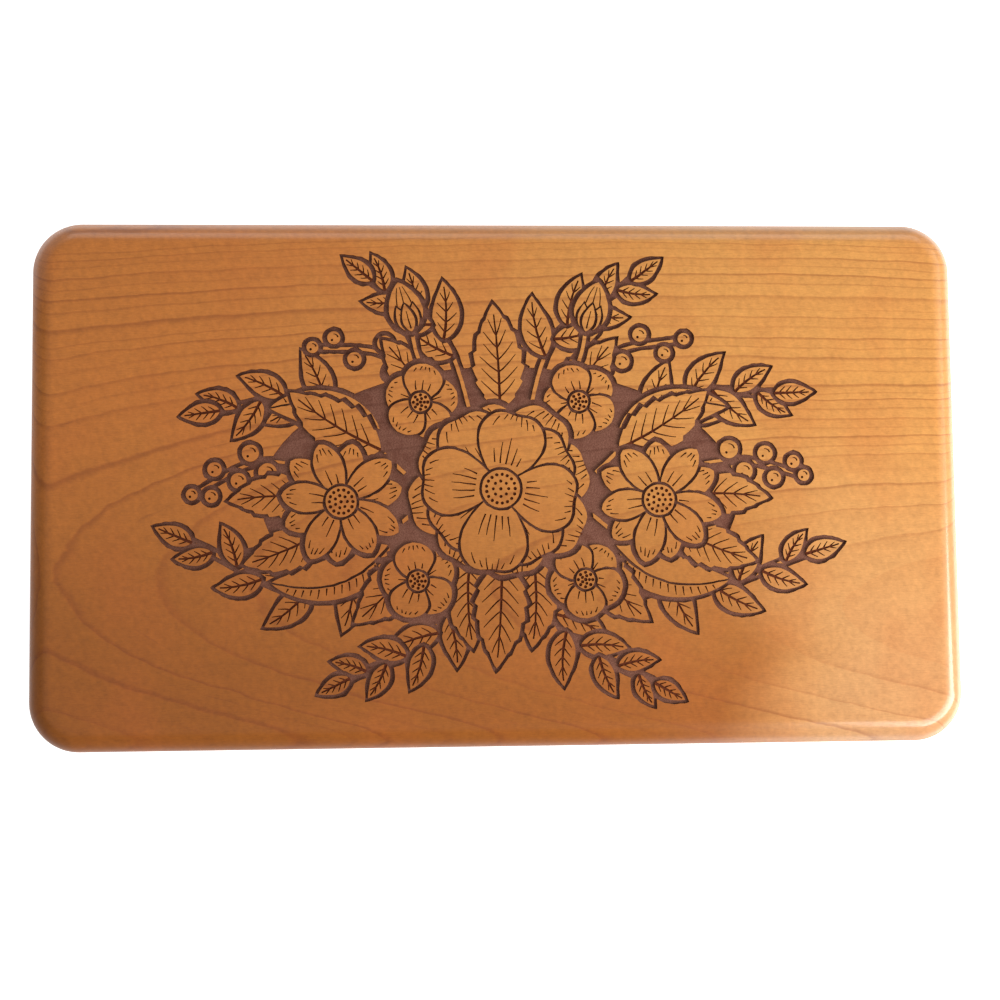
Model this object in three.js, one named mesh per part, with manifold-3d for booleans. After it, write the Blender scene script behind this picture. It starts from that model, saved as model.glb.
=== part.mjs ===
// Wooden jewelry box. A solid hardwood lid with a bullnosed edge closes mitred walls with rounded corners.
// Under the lid are a velvet-lined compartment with ring rolls and dividers, and a mirror in four beads.
// A dovetailed drawer slides below them. Two mortised butt hinges turn in a bevel along the back.
// Millimetres, +Z up, front towards -Y, origin on the floor under the middle of the box.
import * as THREE from "three";
import { mergeVertices } from "three/addons/utils/BufferGeometryUtils.js";
import Module from "manifold-3d";

const wasm = await Module();
wasm.setup();

// Box: outside, walls and lid
const boxWidth = 235;
const boxDepth = 133;
const wallHeight = 78;
const wallThickness = 12;
const cornerRadius = 12.5;
const baseRound = 3; // round along the lower edge of the walls
const rimEase = 0.8; // small round along the rim of the walls
const lidThickness = 19;
const lidRoundOver = 6.35; // bullnose along the top of the lid
const lidLowerEase = 0.8;
const seamGap = 0.4; // between the rim and the closed lid
const mitreGap = 0.1; // glue line of a mitre
const fit = 0.1; // clearance of a glued or grooved piece
const softFit = 0.3; // clearance of a velvet or foam piece
const overrun = 5; // how far a cutting tool runs past what it cuts
const cornerSteps = 9; // facets in a quarter turn of an outside corner
const roundSteps = 6; // facets in a quarter turn of a rounded edge
const boreSides = 18; // facets round a small bore or pin

// Feet
const footHeight = 2;
const footRadius = 4.5;
const footInset = 9; // foot centre to the outer faces

// Base panel and deck, held in grooves of the walls
const grooveDepth = 4;
const baseInset = 3; // base panel above the lower edge of the walls
const baseThickness = 4;
const deckThickness = 4;
const deckRail = 2.5; // wood of the front wall between the drawer opening and the deck

// Scoop for a fingertip in the rim, under the front of the lid
const scoopHalfWidth = 17;
const scoopDepth = 4.5;
const scoopDrop = 5;

// Drawer and what guides it
const openingInset = 24.5; // end of the opening to the side of the box
const openingHeight = 28;
const runnerHeight = 2;
const runnerBearing = 6; // how far a runner reaches under the drawer
const guideHeight = 19;
const guideGap = 0.6; // drawer side to guide
const kickerWidth = 12;
const stopWidth = 16;
const stopHeight = 10;
const drawerGap = 0.5; // all round the drawer in its opening
const openingEase = 0.6; // chamfer round the opening and round the drawer's front
const drawerRearGap = 5; // drawer to back wall, where the stops are
const drawerSideThickness = 6;
const drawerBackThickness = 6;
const drawerBackSetback = 4; // back board to the rear ends of the sides
const drawerBackDrop = 3; // back board below the top of the sides
const drawerBottomThickness = 3;
const drawerBottomInset = 3;
const drawerGroove = 2.5;
const notchRadius = 11; // finger notch in the top edge of the drawer front
const notchEase = 1.5;
const tailCount = 2;
const tailLength = 8;
const tailRootHalf = 3.2;
const tailFlare = 1.3; // how much wider each flank of a tail is at its end
const drawerDividerThickness = 3;
const drawerDividerHeight = 13;
const drawerDividerCount = 2;

// Velvet lining and the dividers of the compartment
const liningThickness = 1.5;
const liningDrop = 4; // bare wood between the lining and the rim
const dividerThickness = 4;
const dividerHeight = 22;
const ringSectionWidth = 74;
const backTrayDepth = 37;

// Ring rolls
const rollCount = 6;
const rollHeight = 19;
const rollEndRound = 1.6;
const rollGap = 0.4;

// Hinges
const hingeSetIn = 51.5; // middle of a hinge to the side of the box
const hingeInset = 2.6; // pin to the back face
const openAngle = 95;
const bevelRelief = 1.5; // degrees left between the bevels of the open lid
const bevelLead = 0.3; // the bevel starts this far in front of the pin
const leafLength = 38;
const leafReach = 8; // front edge of a leaf to the pin
const leafThickness = 1.3;
const barrelRadius = 2.2;
const barrelRelief = 0.3; // wood and opposite leaf to the barrel
const pinRadius = 1;
const pinGap = 0.08;
const knuckleCount = 5;
const knuckleGap = 0.15;
const screwSetback = 5.3; // screws to the pin
const screwEndInset = 7; // screw to the end of the leaf
const screwLength = 9;
const screwRadius = 1.1;
const screwHeadRadius = 2.1;
const screwTip = 2.4;
const screwSlotWidth = 0.5;
const screwSlotDepth = 0.5;

// Mirror and the beads that hold it in the lid
const mirrorSideInset = 24.5; // mirror recess to the sides of the lid
const mirrorEndInset = 22.5; // mirror recess to the front and back of the lid
const mirrorRecessHeight = 6;
const mirrorThickness = 2;
const beadWidth = 5;
const beadRound = 2.2;

// Engraving in the lid: a spray of blossoms and leaves, in millimetres and radians from the middle of the lid
const engravedDepth = 0.7;
const outlineWidth = 1.15; // groove round a leaf or a whole blossom
const innerLineWidth = 0.62; // groove between petals
const groundHalfWidth = 60; // sunk ground behind the blossoms
const groundHalfDepth = 33;
const groundBack = -4;
const bladeSteps = 6; // points along one edge of a petal or leaf
const groundSteps = 24;
const outlineSlack = 0.4; // how far a simplified outline may stray
const notchShare = 0.22; // share of a petal's width that its notch takes
const partedPetals = 8; // a blossom of more petals is cut as one shape
const petalSway = 0.05; // how much petals differ in reach
const petalBend = 0.16; // how far petals bend to one side
const rowDrop = 0.1; // how much shorter each further row of petals is
const blossoms = [
  { x: -40, y: -5, reach: 15.5, petals: 11, rows: 1, width: 7.2, turn: 0.15, peak: 1.35, blunt: 0.62, core: 0.25 },
  { x: 40, y: -5, reach: 15.5, petals: 11, rows: 1, width: 7.2, turn: 0.4, peak: 1.35, blunt: 0.62, core: 0.25 },
  { x: -21, y: -25, reach: 9.5, petals: 5, rows: 1, width: 9.6, turn: 0.5, peak: 1.3, blunt: 0.55, core: 0.25 },
  { x: 21, y: -25, reach: 9.5, petals: 5, rows: 1, width: 9.6, turn: 0.9, peak: 1.3, blunt: 0.55, core: 0.25 },
  { x: -20, y: 20, reach: 9.5, petals: 5, rows: 1, width: 9.6, turn: 0.2, peak: 1.3, blunt: 0.55, core: 0.25 },
  { x: 20, y: 20, reach: 9.5, petals: 5, rows: 1, width: 9.6, turn: 0.7, peak: 1.3, blunt: 0.55, core: 0.25 },
  {
    ...{ x: 0, y: -2, reach: 24, petals: 8, rows: 2, width: 16.5, turn: 0.2 },
    ...{ peak: 1.45, blunt: 0.58, core: 0.2, notch: 2.2 },
  },
];
const leafPeak = 0.78;
const leafBlunt = 0.9;
const leaves = [
  { x: 16, y: 16, turn: 1.15, reach: 24, width: 12, bend: -0.35 },
  { x: 30, y: 8, turn: 0.42, reach: 27, width: 13, bend: 0.3 },
  { x: 46, y: -4, turn: 0.12, reach: 22, width: 11, bend: -0.3 },
  { x: 44, y: -12, turn: -0.55, reach: 22, width: 11, bend: 0.3 },
  { x: 20, y: -17, turn: -1.0, reach: 25, width: 12.5, bend: 0.35 },
  { x: 8, y: -20, turn: -1.45, reach: 22, width: 11, bend: -0.3 },
];
const middleLeaves = [
  { x: 0, y: 18, turn: Math.PI / 2, reach: 27, width: 13, bend: 0.12 },
  { x: 0, y: -20, turn: -Math.PI / 2, reach: 27, width: 13, bend: -0.12 },
];
const foldedLeaves = [
  { x: 30, y: 10, turn: 0.75, reach: 30, width: 11, bend: -0.9 },
  { x: 28, y: -16, turn: -0.75, reach: 32, width: 11, bend: 0.9 },
];
const foldedPeak = 0.85;
const foldedBlunt = 0.8;

// Levels, from the floor up
const wallLow = footHeight;
const rim = wallLow + wallHeight;
const baseLow = wallLow + baseInset;
const baseTop = baseLow + baseThickness;
const openingLow = baseTop + runnerHeight;
const openingHigh = openingLow + openingHeight;
const deckLow = openingHigh + deckRail;
const deckTop = deckLow + deckThickness;
const lidLow = rim + seamGap;
const lidTop = lidLow + lidThickness;

// Faces, measured from the middle
const sideFace = boxWidth / 2;
const backFace = boxDepth / 2;
const insideX = sideFace - wallThickness;
const insideY = backFace - wallThickness;
const openingX = sideFace - openingInset;
const drawerX = openingX - drawerGap;
const drawerLow = openingLow + drawerGap;
const drawerHigh = openingHigh - drawerGap;
const drawerBackEnd = insideY - drawerRearGap;
const hingeY = backFace - hingeInset;
const hingeZ = rim + seamGap / 2;

const quarterTurn = 90;
const halfTurn = 2 * quarterTurn;

// Finishes
const cherry = new THREE.MeshStandardMaterial({ color: 0xc98145, roughness: 0.35 });
const maple = new THREE.MeshStandardMaterial({ color: 0xd9bd8c, roughness: 0.5 });
const plywood = new THREE.MeshStandardMaterial({ color: 0xcda875, roughness: 0.6 });
const velvet = new THREE.MeshStandardMaterial({ color: 0x1f4a33, roughness: 0.95 });
const felt = new THREE.MeshStandardMaterial({ color: 0x4a3526, roughness: 1 });
const brass = new THREE.MeshStandardMaterial({ color: 0xc9a24a, roughness: 0.3, metalness: 1 });
const glass = new THREE.MeshStandardMaterial({ color: 0xd5dadd, roughness: 0.03, metalness: 1 });

// A three.js geometry as a closed solid
function solid(geometry) {
  const bare = geometry.index ? geometry.toNonIndexed() : geometry.clone();
  for (const name of Object.keys(bare.attributes)) {
    if (name !== "position") bare.deleteAttribute(name);
  }
  const merged = mergeVertices(bare);
  return new wasm.Manifold(
    new wasm.Mesh({
      numProp: 3,
      vertProperties: merged.attributes.position.array,
      triVerts: new Uint32Array(merged.index.array),
    }),
  );
}

// A closed solid as a three.js geometry
function geometryOf(made) {
  const mesh = made.getMesh();
  return new THREE.BufferGeometry()
    .setAttribute("position", new THREE.BufferAttribute(mesh.vertProperties, mesh.numProp))
    .setIndex(new THREE.BufferAttribute(mesh.triVerts, 1))
    .toNonIndexed();
}

// A block between two corners
function block([x0, y0, z0], [x1, y1, z1]) {
  const box = new THREE.BoxGeometry(x1 - x0, y1 - y0, z1 - z0);
  return solid(box.translate((x0 + x1) / 2, (y0 + y1) / 2, (z0 + z1) / 2));
}

// A block whose corners are given as pairs along X, Y and Z, in any order
function spanning(xs, ys, zs) {
  const [x, y, z] = [xs, ys, zs].map((pair) => [Math.min(...pair), Math.max(...pair)]);
  return block([x[0], y[0], z[0]], [x[1], y[1], z[1]]);
}

// An outline in plan, drawn up from one level to another
function upright(outline, low, high) {
  const drawn = new THREE.ExtrudeGeometry(outline, { depth: high - low, bevelEnabled: false });
  return solid(drawn.translate(0, 0, low));
}

// An outline in Y and Z, drawn along X from one place to another
function alongX(outline, from, to, options = {}) {
  const drawn = new THREE.ExtrudeGeometry(outline, { depth: to - from, bevelEnabled: false, ...options });
  return solid(drawn.rotateX(Math.PI / 2).rotateZ(Math.PI / 2).translate(from, 0, 0));
}

// An outline in X and Z, drawn along Y from one place to another
function alongY(outline, from, to) {
  const drawn = new THREE.ExtrudeGeometry(outline, { depth: to - from, bevelEnabled: false });
  return solid(drawn.rotateX(Math.PI / 2).translate(0, to, 0));
}

// A round bar along X
function barX(radius, from, to, y, z) {
  const bar = new THREE.CylinderGeometry(radius, radius, to - from, boreSides);
  return solid(bar.rotateZ(Math.PI / 2).translate((from + to) / 2, y, z));
}

// A closed outline through points given as pairs
function outlineOf(pairs) {
  return new THREE.Shape(pairs.map(([a, b]) => new THREE.Vector2(a, b)));
}

// One level of a slab with rounded corners, as a ring of points
function slabRing(inset, level) {
  const radius = cornerRadius - inset;
  const ring = [];
  for (let corner = 0; corner < 4; corner++) {
    const right = corner === 0 || corner === 3 ? 1 : -1;
    const back = corner < 2 ? 1 : -1;
    for (let step = 0; step <= cornerSteps; step++) {
      const angle = ((corner + step / cornerSteps) * Math.PI) / 2;
      const x = right * (sideFace - cornerRadius) + radius * Math.cos(angle);
      const y = back * (backFace - cornerRadius) + radius * Math.sin(angle);
      ring.push([x, y, level]);
    }
  }
  return ring;
}

// The box's plan between two levels, with a quarter round of its own radius along each edge
function slab(low, high, lowRound, highRound) {
  const rings = [];
  for (let step = 0; step <= roundSteps; step++) {
    const angle = ((step / roundSteps) * Math.PI) / 2;
    rings.push(slabRing(lowRound * (1 - Math.sin(angle)), low + lowRound * (1 - Math.cos(angle))));
  }
  for (let step = 0; step <= roundSteps; step++) {
    const angle = ((step / roundSteps) * Math.PI) / 2;
    rings.push(slabRing(highRound * (1 - Math.cos(angle)), high - highRound * (1 - Math.sin(angle))));
  }
  return loft(rings);
}

// The middle of a ring of points
function middleOf(ring) {
  return [0, 1, 2].map((axis) => ring.reduce((sum, point) => sum + point[axis], 0) / ring.length);
}

// A closed solid through rings of equally many points, each end closed by a fan about its middle
function loft(rings) {
  const count = rings[0].length;
  const points = rings.flat();
  const faces = [];
  for (let level = 0; level + 1 < rings.length; level++) {
    for (let i = 0; i < count; i++) {
      const here = level * count + i;
      const next = level * count + ((i + 1) % count);
      faces.push(here, next, next + count, here, next + count, here + count);
    }
  }
  const lowMiddle = points.length;
  const last = (rings.length - 1) * count;
  points.push(middleOf(rings[0]), middleOf(rings[rings.length - 1]));
  for (let i = 0; i < count; i++) {
    const next = (i + 1) % count;
    faces.push(lowMiddle, next, i, lowMiddle + 1, last + i, last + next);
  }
  const lofted = new THREE.BufferGeometry()
    .setAttribute("position", new THREE.Float32BufferAttribute(points.flat(), 3))
    .setIndex(faces);
  return solid(lofted);
}

// What lies between the mitres of a strip that runs along X at the back and is then turned to its side
function mitreWedge(long, short, width, low, high, turned) {
  const half = mitreGap * Math.SQRT1_2;
  const inside = width + overrun;
  const pairs = [
    [long - inside - half, short - inside],
    [long + overrun - half, short + overrun],
    [half - long - overrun, short + overrun],
    [half - long + inside, short - inside],
  ];
  return upright(outlineOf(pairs), low - overrun, high + overrun).rotate([0, 0, turned]);
}

const root = new THREE.Group();
const body = new THREE.Group();
const lid = new THREE.Group();
const drawer = new THREE.Group();
root.add(body, lid, drawer);

// Adds a named piece to the group that it moves with
function piece(name, made, material, group) {
  const mesh = new THREE.Mesh(geometryOf(made), material);
  mesh.name = name;
  group.add(mesh);
}

// The bevel along the back of walls and lid, which lets the lid lean back and stops it just past upright
function backBevel() {
  const run = hingeInset + bevelLead + overrun;
  const rise = run * Math.tan(THREE.MathUtils.degToRad((openAngle + bevelRelief) / 2));
  const start = hingeY - bevelLead;
  const wedge = outlineOf([
    [start, hingeZ],
    [start + run, hingeZ - rise],
    [start + run, hingeZ + rise],
  ]);
  return alongX(wedge, -sideFace - overrun, sideFace + overrun);
}

const hingeCentres = { left: hingeSetIn - sideFace, right: sideFace - hingeSetIn };
const screwOut = leafLength / 2 - screwEndInset;
const screwPlaces = Object.entries(hingeCentres).flatMap(([side, centre]) =>
  [-1, 1].map((way, i) => ({ name: `${side}_${i + 1}`, x: centre + way * screwOut })),
);

// Half the profile of a countersunk screw, point down, with its head's face at zero
function screwProfile(extra) {
  const taper = screwHeadRadius - screwRadius;
  return [
    [0, -screwLength - extra],
    [screwRadius / 2 + extra, -screwLength - extra],
    [screwRadius + extra, screwTip - screwLength],
    [screwRadius + extra, -taper],
    [screwHeadRadius + extra, 0],
  ];
}

// A screw, or with some extra its hole. Its head is above where up is 1, and below where up is -1.
function screw(x, level, up, extra, headroom) {
  const half = screwProfile(extra);
  const top = headroom > 0 ? [[screwHeadRadius + extra, headroom]] : [];
  const profile = [...half, ...top, [0, headroom]].map(([r, z]) => new THREE.Vector2(r, z));
  const turned = new THREE.LatheGeometry(profile, boreSides).rotateX(Math.PI / 2);
  if (up < 0) turned.rotateX(Math.PI);
  return solid(turned.translate(x, hingeY - screwSetback, level));
}

// What the hinges take out of the walls (up is 1) or out of the lid (up is -1)
function hingeMortises(up) {
  const face = up > 0 ? rim : lidLow;
  const deep = face - up * (leafThickness + fit);
  const clear = face + up * overrun;
  let cut = null;
  for (const centre of Object.values(hingeCentres)) {
    const half = leafLength / 2 + fit;
    const pocket = spanning(
      [centre - half, centre + half],
      [hingeY - leafReach - fit, backFace + overrun],
      [deep, clear],
    );
    const relief = barX(barrelRadius + barrelRelief, centre - half, centre + half, hingeY, hingeZ);
    cut = cut ? cut.add(pocket).add(relief) : pocket.add(relief);
  }
  for (const { x } of screwPlaces) {
    cut = cut.add(screw(x, face, up, fit, 0));
  }
  return cut;
}

// One leaf of a hinge: a plate with every second knuckle rolled from it
function hingeLeaf(centre, up) {
  const face = up > 0 ? rim : lidLow;
  const back = face - up * leafThickness;
  const from = centre - leafLength / 2;
  const pitch = leafLength / knuckleCount;
  const first = up > 0 ? 0 : 1;
  let leaf = spanning([from, from + leafLength], [hingeY - leafReach, hingeY], [face, back]);
  for (let k = 0; k < knuckleCount; k++) {
    const start = from + k * pitch;
    const own = k % 2 === first;
    const endGap = k === 0 ? 0 : knuckleGap;
    const lastGap = k === knuckleCount - 1 ? 0 : knuckleGap;
    if (own) {
      leaf = leaf.add(barX(barrelRadius, start + endGap, start + pitch - lastGap, hingeY, hingeZ));
    } else {
      leaf = leaf.subtract(barX(barrelRadius + barrelRelief, start, start + pitch, hingeY, hingeZ));
    }
  }
  const ends = [from - overrun, from + leafLength + overrun];
  leaf = leaf.subtract(barX(pinRadius + pinGap, ...ends, hingeY, hingeZ));
  for (const { x } of screwPlaces) {
    if (Math.abs(x - centre) < leafLength / 2) {
      leaf = leaf.subtract(screw(x, face, up, fit, overrun));
    }
  }
  return leaf;
}

// Walls: one ring with rounded corners, grooved for the panels and parted along the mitres
let ring = slab(wallLow, rim, baseRound, rimEase)
  .subtract(block([-insideX, -insideY, wallLow - overrun], [insideX, insideY, rim + overrun]))
  .subtract(backBevel())
  .subtract(hingeMortises(1));
for (const [low, thickness] of [
  [baseLow, baseThickness],
  [deckLow, deckThickness],
]) {
  const x = insideX + grooveDepth;
  const y = insideY + grooveDepth;
  ring = ring.subtract(block([-x, -y, low - fit], [x, y, low + thickness + fit]));
}

function wall(long, short, turned) {
  return ring.intersect(mitreWedge(long, short, wallThickness, wallLow, rim, turned));
}

// An upright rectangle across the box at one place in Y, grown all round
function rectangleRing(half, low, high, y, grown) {
  const x = half + grown;
  return [
    [x, y, high + grown],
    [x, y, low - grown],
    [-x, y, low - grown],
    [-x, y, high + grown],
  ];
}

function frontRings(half, low, high, places) {
  return places.map(([y, grown]) => rectangleRing(half, low, high, y, grown));
}

const opening = loft(
  frontRings(openingX, openingLow, openingHigh, [
    [-backFace - overrun, openingEase + overrun],
    [openingEase - backFace, 0],
    [overrun - insideY, 0],
  ]),
);
const scoop = solid(
  new THREE.SphereGeometry(1, 4 * roundSteps, 2 * roundSteps)
    .rotateX(Math.PI / 2)
    .scale(scoopHalfWidth, scoopDepth, scoopDrop)
    .translate(0, -backFace, rim),
);
piece("front_wall", wall(sideFace, backFace, halfTurn).subtract(opening).subtract(scoop), cherry, body);
piece("back_wall", wall(sideFace, backFace, 0), cherry, body);
piece("right_wall", wall(backFace, sideFace, -quarterTurn), cherry, body);
piece("left_wall", wall(backFace, sideFace, quarterTurn), cherry, body);

// Panels in the grooves
for (const [name, low, thickness] of [
  ["base_panel", baseLow, baseThickness],
  ["deck_panel", deckLow, deckThickness],
]) {
  const x = insideX + grooveDepth - fit;
  const y = insideY + grooveDepth - fit;
  piece(name, block([-x, -y, low], [x, y, low + thickness]), plywood, body);
}

// Feet under the corners
for (const [side, x] of [["left", -1], ["right", 1]]) {
  for (const [end, y] of [["front", -1], ["back", 1]]) {
    const foot = new THREE.CylinderGeometry(footRadius, footRadius, footHeight, boreSides)
      .rotateX(Math.PI / 2)
      .translate(x * (sideFace - footInset), y * (backFace - footInset), footHeight / 2);
    piece(`foot_${end}_${side}`, solid(foot), felt, body);
  }
}

// Runners, kickers and stops of the drawer
const guideX = drawerX + guideGap;
for (const [side, way] of [["left", -1], ["right", 1]]) {
  const inner = way * (guideX - guideGap - runnerBearing);
  const guide = way * guideX;
  const outer = way * (insideX - fit);
  const low = baseTop + fit;
  const runner = outlineOf([
    [inner, low],
    [outer, low],
    [outer, openingLow + guideHeight],
    [guide, openingLow + guideHeight],
    [guide, openingLow],
    [inner, openingLow],
  ]);
  piece(`drawer_runner_${side}`, alongY(runner, fit - insideY, insideY - fit), maple, body);
  const kicker = spanning(
    [way * (drawerX - kickerWidth), way * drawerX],
    [fit - insideY, insideY - fit],
    [openingHigh, deckLow - fit],
  );
  piece(`drawer_kicker_${side}`, kicker, maple, body);
  const stop = spanning(
    [way * (drawerX - stopWidth), way * drawerX],
    [drawerBackEnd + fit, insideY - fit],
    [openingLow + fit, openingLow + stopHeight],
  );
  piece(`drawer_stop_${side}`, stop, maple, body);
}

// Velvet lining of the compartment
const liningHigh = rim - liningDrop;
const floorTop = deckTop + liningThickness + fit;
const linedX = insideX - liningThickness - fit;
const linedY = insideY - liningThickness - fit;
const floorX = insideX - fit;
const floorY = insideY - fit;
const liningLevels = [floorTop + fit, liningHigh];
const liningFloor = block([-floorX, -floorY, deckTop + fit], [floorX, floorY, floorTop]);
piece("lining_floor", liningFloor, velvet, body);
for (const [name, way] of [["lining_front", -1], ["lining_back", 1]]) {
  const lining = spanning([-floorX, floorX], [way * linedY, way * floorY], liningLevels);
  piece(name, lining, velvet, body);
}
for (const [name, way] of [["lining_left", -1], ["lining_right", 1]]) {
  const lining = spanning([way * linedX, way * floorX], [fit - linedY, linedY - fit], liningLevels);
  piece(name, lining, velvet, body);
}

// Dividers: one beside the ring rolls, one across the rest, and one that halves the space behind it
const dividerLow = floorTop + softFit;
const dividerLevels = [dividerLow, floorTop + dividerHeight];
const ringEnd = ringSectionWidth - linedX;
const trayStart = ringEnd + dividerThickness;
const trayMiddle = (trayStart + linedX) / 2;
const crossDividerBack = linedY - backTrayDepth;
const crossDividerFront = crossDividerBack - dividerThickness;
const dividers = {
  divider_rings: [[ringEnd, trayStart], [softFit - linedY, linedY - softFit]],
  divider_long: [[trayStart + softFit, linedX - softFit], [crossDividerFront, crossDividerBack]],
  divider_short: [
    [trayMiddle - dividerThickness / 2, trayMiddle + dividerThickness / 2],
    [crossDividerBack + softFit, linedY - softFit],
  ],
};
for (const [name, [xs, ys]] of Object.entries(dividers)) {
  piece(name, spanning(xs, ys, dividerLevels), velvet, body);
}

// Ring rolls: foam with a round top, side by side, so that a ring is held between two of them
const rollPitch = (2 * linedY - softFit) / rollCount;
const rollHalf = (rollPitch - rollGap) / 2;
const rollOutline = new THREE.Shape();
rollOutline.moveTo(-rollHalf + rollEndRound, rollEndRound);
rollOutline.lineTo(rollHalf - rollEndRound, rollEndRound);
rollOutline.absarc(0, rollHeight - rollHalf, rollHalf - rollEndRound, 0, Math.PI);
rollOutline.closePath();
for (let i = 0; i < rollCount; i++) {
  const roll = alongX(rollOutline, softFit + rollEndRound - linedX, ringEnd - softFit - rollEndRound, {
    bevelEnabled: true,
    bevelSize: rollEndRound,
    bevelThickness: rollEndRound,
    bevelSegments: 3,
    curveSegments: roundSteps,
  });
  const y = softFit / 2 - linedY + (i + 1 / 2) * rollPitch;
  piece(`ring_roll_${i + 1}`, roll.translate([0, y, dividerLow]), velvet, body);
}

// Drawer: the sides' tails seat in blind sockets of the front
const drawerBase = drawerLow + drawerBottomInset;
const drawerFloor = drawerBase + drawerBottomThickness;
const drawerHeight = drawerHigh - drawerLow;
const tailRoot = -insideY;

// One dovetail in Y and Z, wider towards the front
function tail(index, extra) {
  const middle = drawerLow + ((index + 1 / 2) * drawerHeight) / tailCount;
  const slope = tailFlare / tailLength;
  const start = tailRootHalf + extra - slope * overrun;
  const end = tailRootHalf + extra + slope * (tailLength + extra);
  return outlineOf([
    [tailRoot + overrun, middle - start],
    [tailRoot + overrun, middle + start],
    [tailRoot - tailLength - extra, middle + end],
    [tailRoot - tailLength - extra, middle - end],
  ]);
}

// All tails of a side between two places in X, or with some extra the sockets that they seat in
function tails(inner, outer, extra) {
  let joined = null;
  for (let i = 0; i < tailCount; i++) {
    const drawn = alongX(tail(i, extra), Math.min(inner, outer), Math.max(inner, outer));
    joined = joined ? joined.add(drawn) : drawn;
  }
  return joined;
}

// The finger notch: a half round through the drawer front, its mouth flared to an eased edge on both faces
function fingerNotch() {
  const profile = [[0, -overrun], [notchRadius + notchEase, -overrun]];
  for (let step = 0; step <= roundSteps; step++) {
    const angle = ((step / roundSteps) * Math.PI) / 2;
    profile.push([notchRadius + notchEase * (1 - Math.sin(angle)), notchEase * (1 - Math.cos(angle))]);
  }
  for (let step = roundSteps; step >= 0; step--) {
    const angle = ((step / roundSteps) * Math.PI) / 2;
    profile.push([
      notchRadius + notchEase * (1 - Math.sin(angle)),
      wallThickness - notchEase * (1 - Math.cos(angle)),
    ]);
  }
  profile.push([notchRadius + notchEase, wallThickness + overrun], [0, wallThickness + overrun]);
  const turned = new THREE.LatheGeometry(profile.map(([r, y]) => new THREE.Vector2(r, y)), 2 * boreSides);
  return solid(turned.translate(0, -backFace, drawerHigh));
}

const drawerInsideX = drawerX - drawerSideThickness;
const drawerBackFace = drawerBackEnd - drawerBackSetback - drawerBackThickness;
const groovedX = drawerInsideX + drawerGroove;
const bottomGroove = block(
  [-groovedX, tailRoot - drawerGroove, drawerBase - fit],
  [groovedX, drawerBackEnd + overrun, drawerFloor + fit],
);
const frontBoard = frontRings(drawerX, drawerLow, drawerHigh, [
  [-backFace, -openingEase],
  [openingEase - backFace, 0],
  [-insideY, 0],
]);
let drawerFront = loft(frontBoard)
  .subtract(fingerNotch())
  .subtract(bottomGroove);
for (const [side, way] of [["left", -1], ["right", 1]]) {
  const inner = way * drawerInsideX;
  const outer = way * drawerX;
  const dado = spanning(
    [inner - way * overrun, inner + way * drawerGroove],
    [drawerBackFace - fit, drawerBackFace + drawerBackThickness + fit],
    [drawerBase - fit, drawerHigh + overrun],
  );
  const board = spanning([inner, outer], [tailRoot + fit, drawerBackEnd], [drawerLow, drawerHigh])
    .add(tails(inner, outer, 0))
    .subtract(bottomGroove)
    .subtract(dado);
  piece(`drawer_side_${side}`, board, maple, drawer);
  drawerFront = drawerFront.subtract(tails(inner - way * fit, outer + way * overrun, fit));
}
piece("drawer_front", drawerFront, cherry, drawer);

const drawerBack = block(
  [fit - groovedX, drawerBackFace, drawerFloor + fit],
  [groovedX - fit, drawerBackFace + drawerBackThickness, drawerHigh - drawerBackDrop],
);
piece("drawer_back", drawerBack, maple, drawer);
const drawerBottom = block(
  [fit - groovedX, tailRoot - drawerGroove + fit, drawerBase],
  [groovedX - fit, drawerBackEnd - fit, drawerFloor],
);
piece("drawer_bottom", drawerBottom, plywood, drawer);
const drawerLined = drawerFloor + fit + liningThickness;
const liningX = drawerInsideX - softFit;
const liningY = [softFit - insideY, drawerBackFace - softFit];
const drawerLining = spanning([-liningX, liningX], liningY, [drawerFloor + fit, drawerLined]);
piece("drawer_lining", drawerLining, velvet, drawer);
for (let i = 1; i <= drawerDividerCount; i++) {
  const x = drawerInsideX * ((2 * i) / (drawerDividerCount + 1) - 1);
  const divider = spanning(
    [x - drawerDividerThickness / 2, x + drawerDividerThickness / 2],
    liningY,
    [drawerLined + softFit, drawerLined + drawerDividerHeight],
  );
  piece(`drawer_divider_${i}`, divider, velvet, drawer);
}

// Hinges: the body leaves carry the pins
for (const [side, centre] of Object.entries(hingeCentres)) {
  piece(`hinge_${side}_body_leaf`, hingeLeaf(centre, 1), brass, body);
  piece(`hinge_${side}_lid_leaf`, hingeLeaf(centre, -1), brass, lid);
  const pin = barX(pinRadius, centre - leafLength / 2, centre + leafLength / 2, hingeY, hingeZ);
  piece(`hinge_${side}_pin`, pin, brass, body);
}
for (const { name, x } of screwPlaces) {
  for (const [place, up, group] of [["body", 1, body], ["lid", -1, lid]]) {
    const face = up > 0 ? rim : lidLow;
    const reach = screwHeadRadius + overrun;
    const row = hingeY - screwSetback;
    const slot = block(
      [x - reach, row - screwSlotWidth / 2, face - screwSlotDepth],
      [x + reach, row + screwSlotWidth / 2, face + screwSlotDepth],
    );
    piece(`screw_${place}_${name}`, screw(x, face, up, 0, 0).subtract(slot), brass, group);
  }
}

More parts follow.
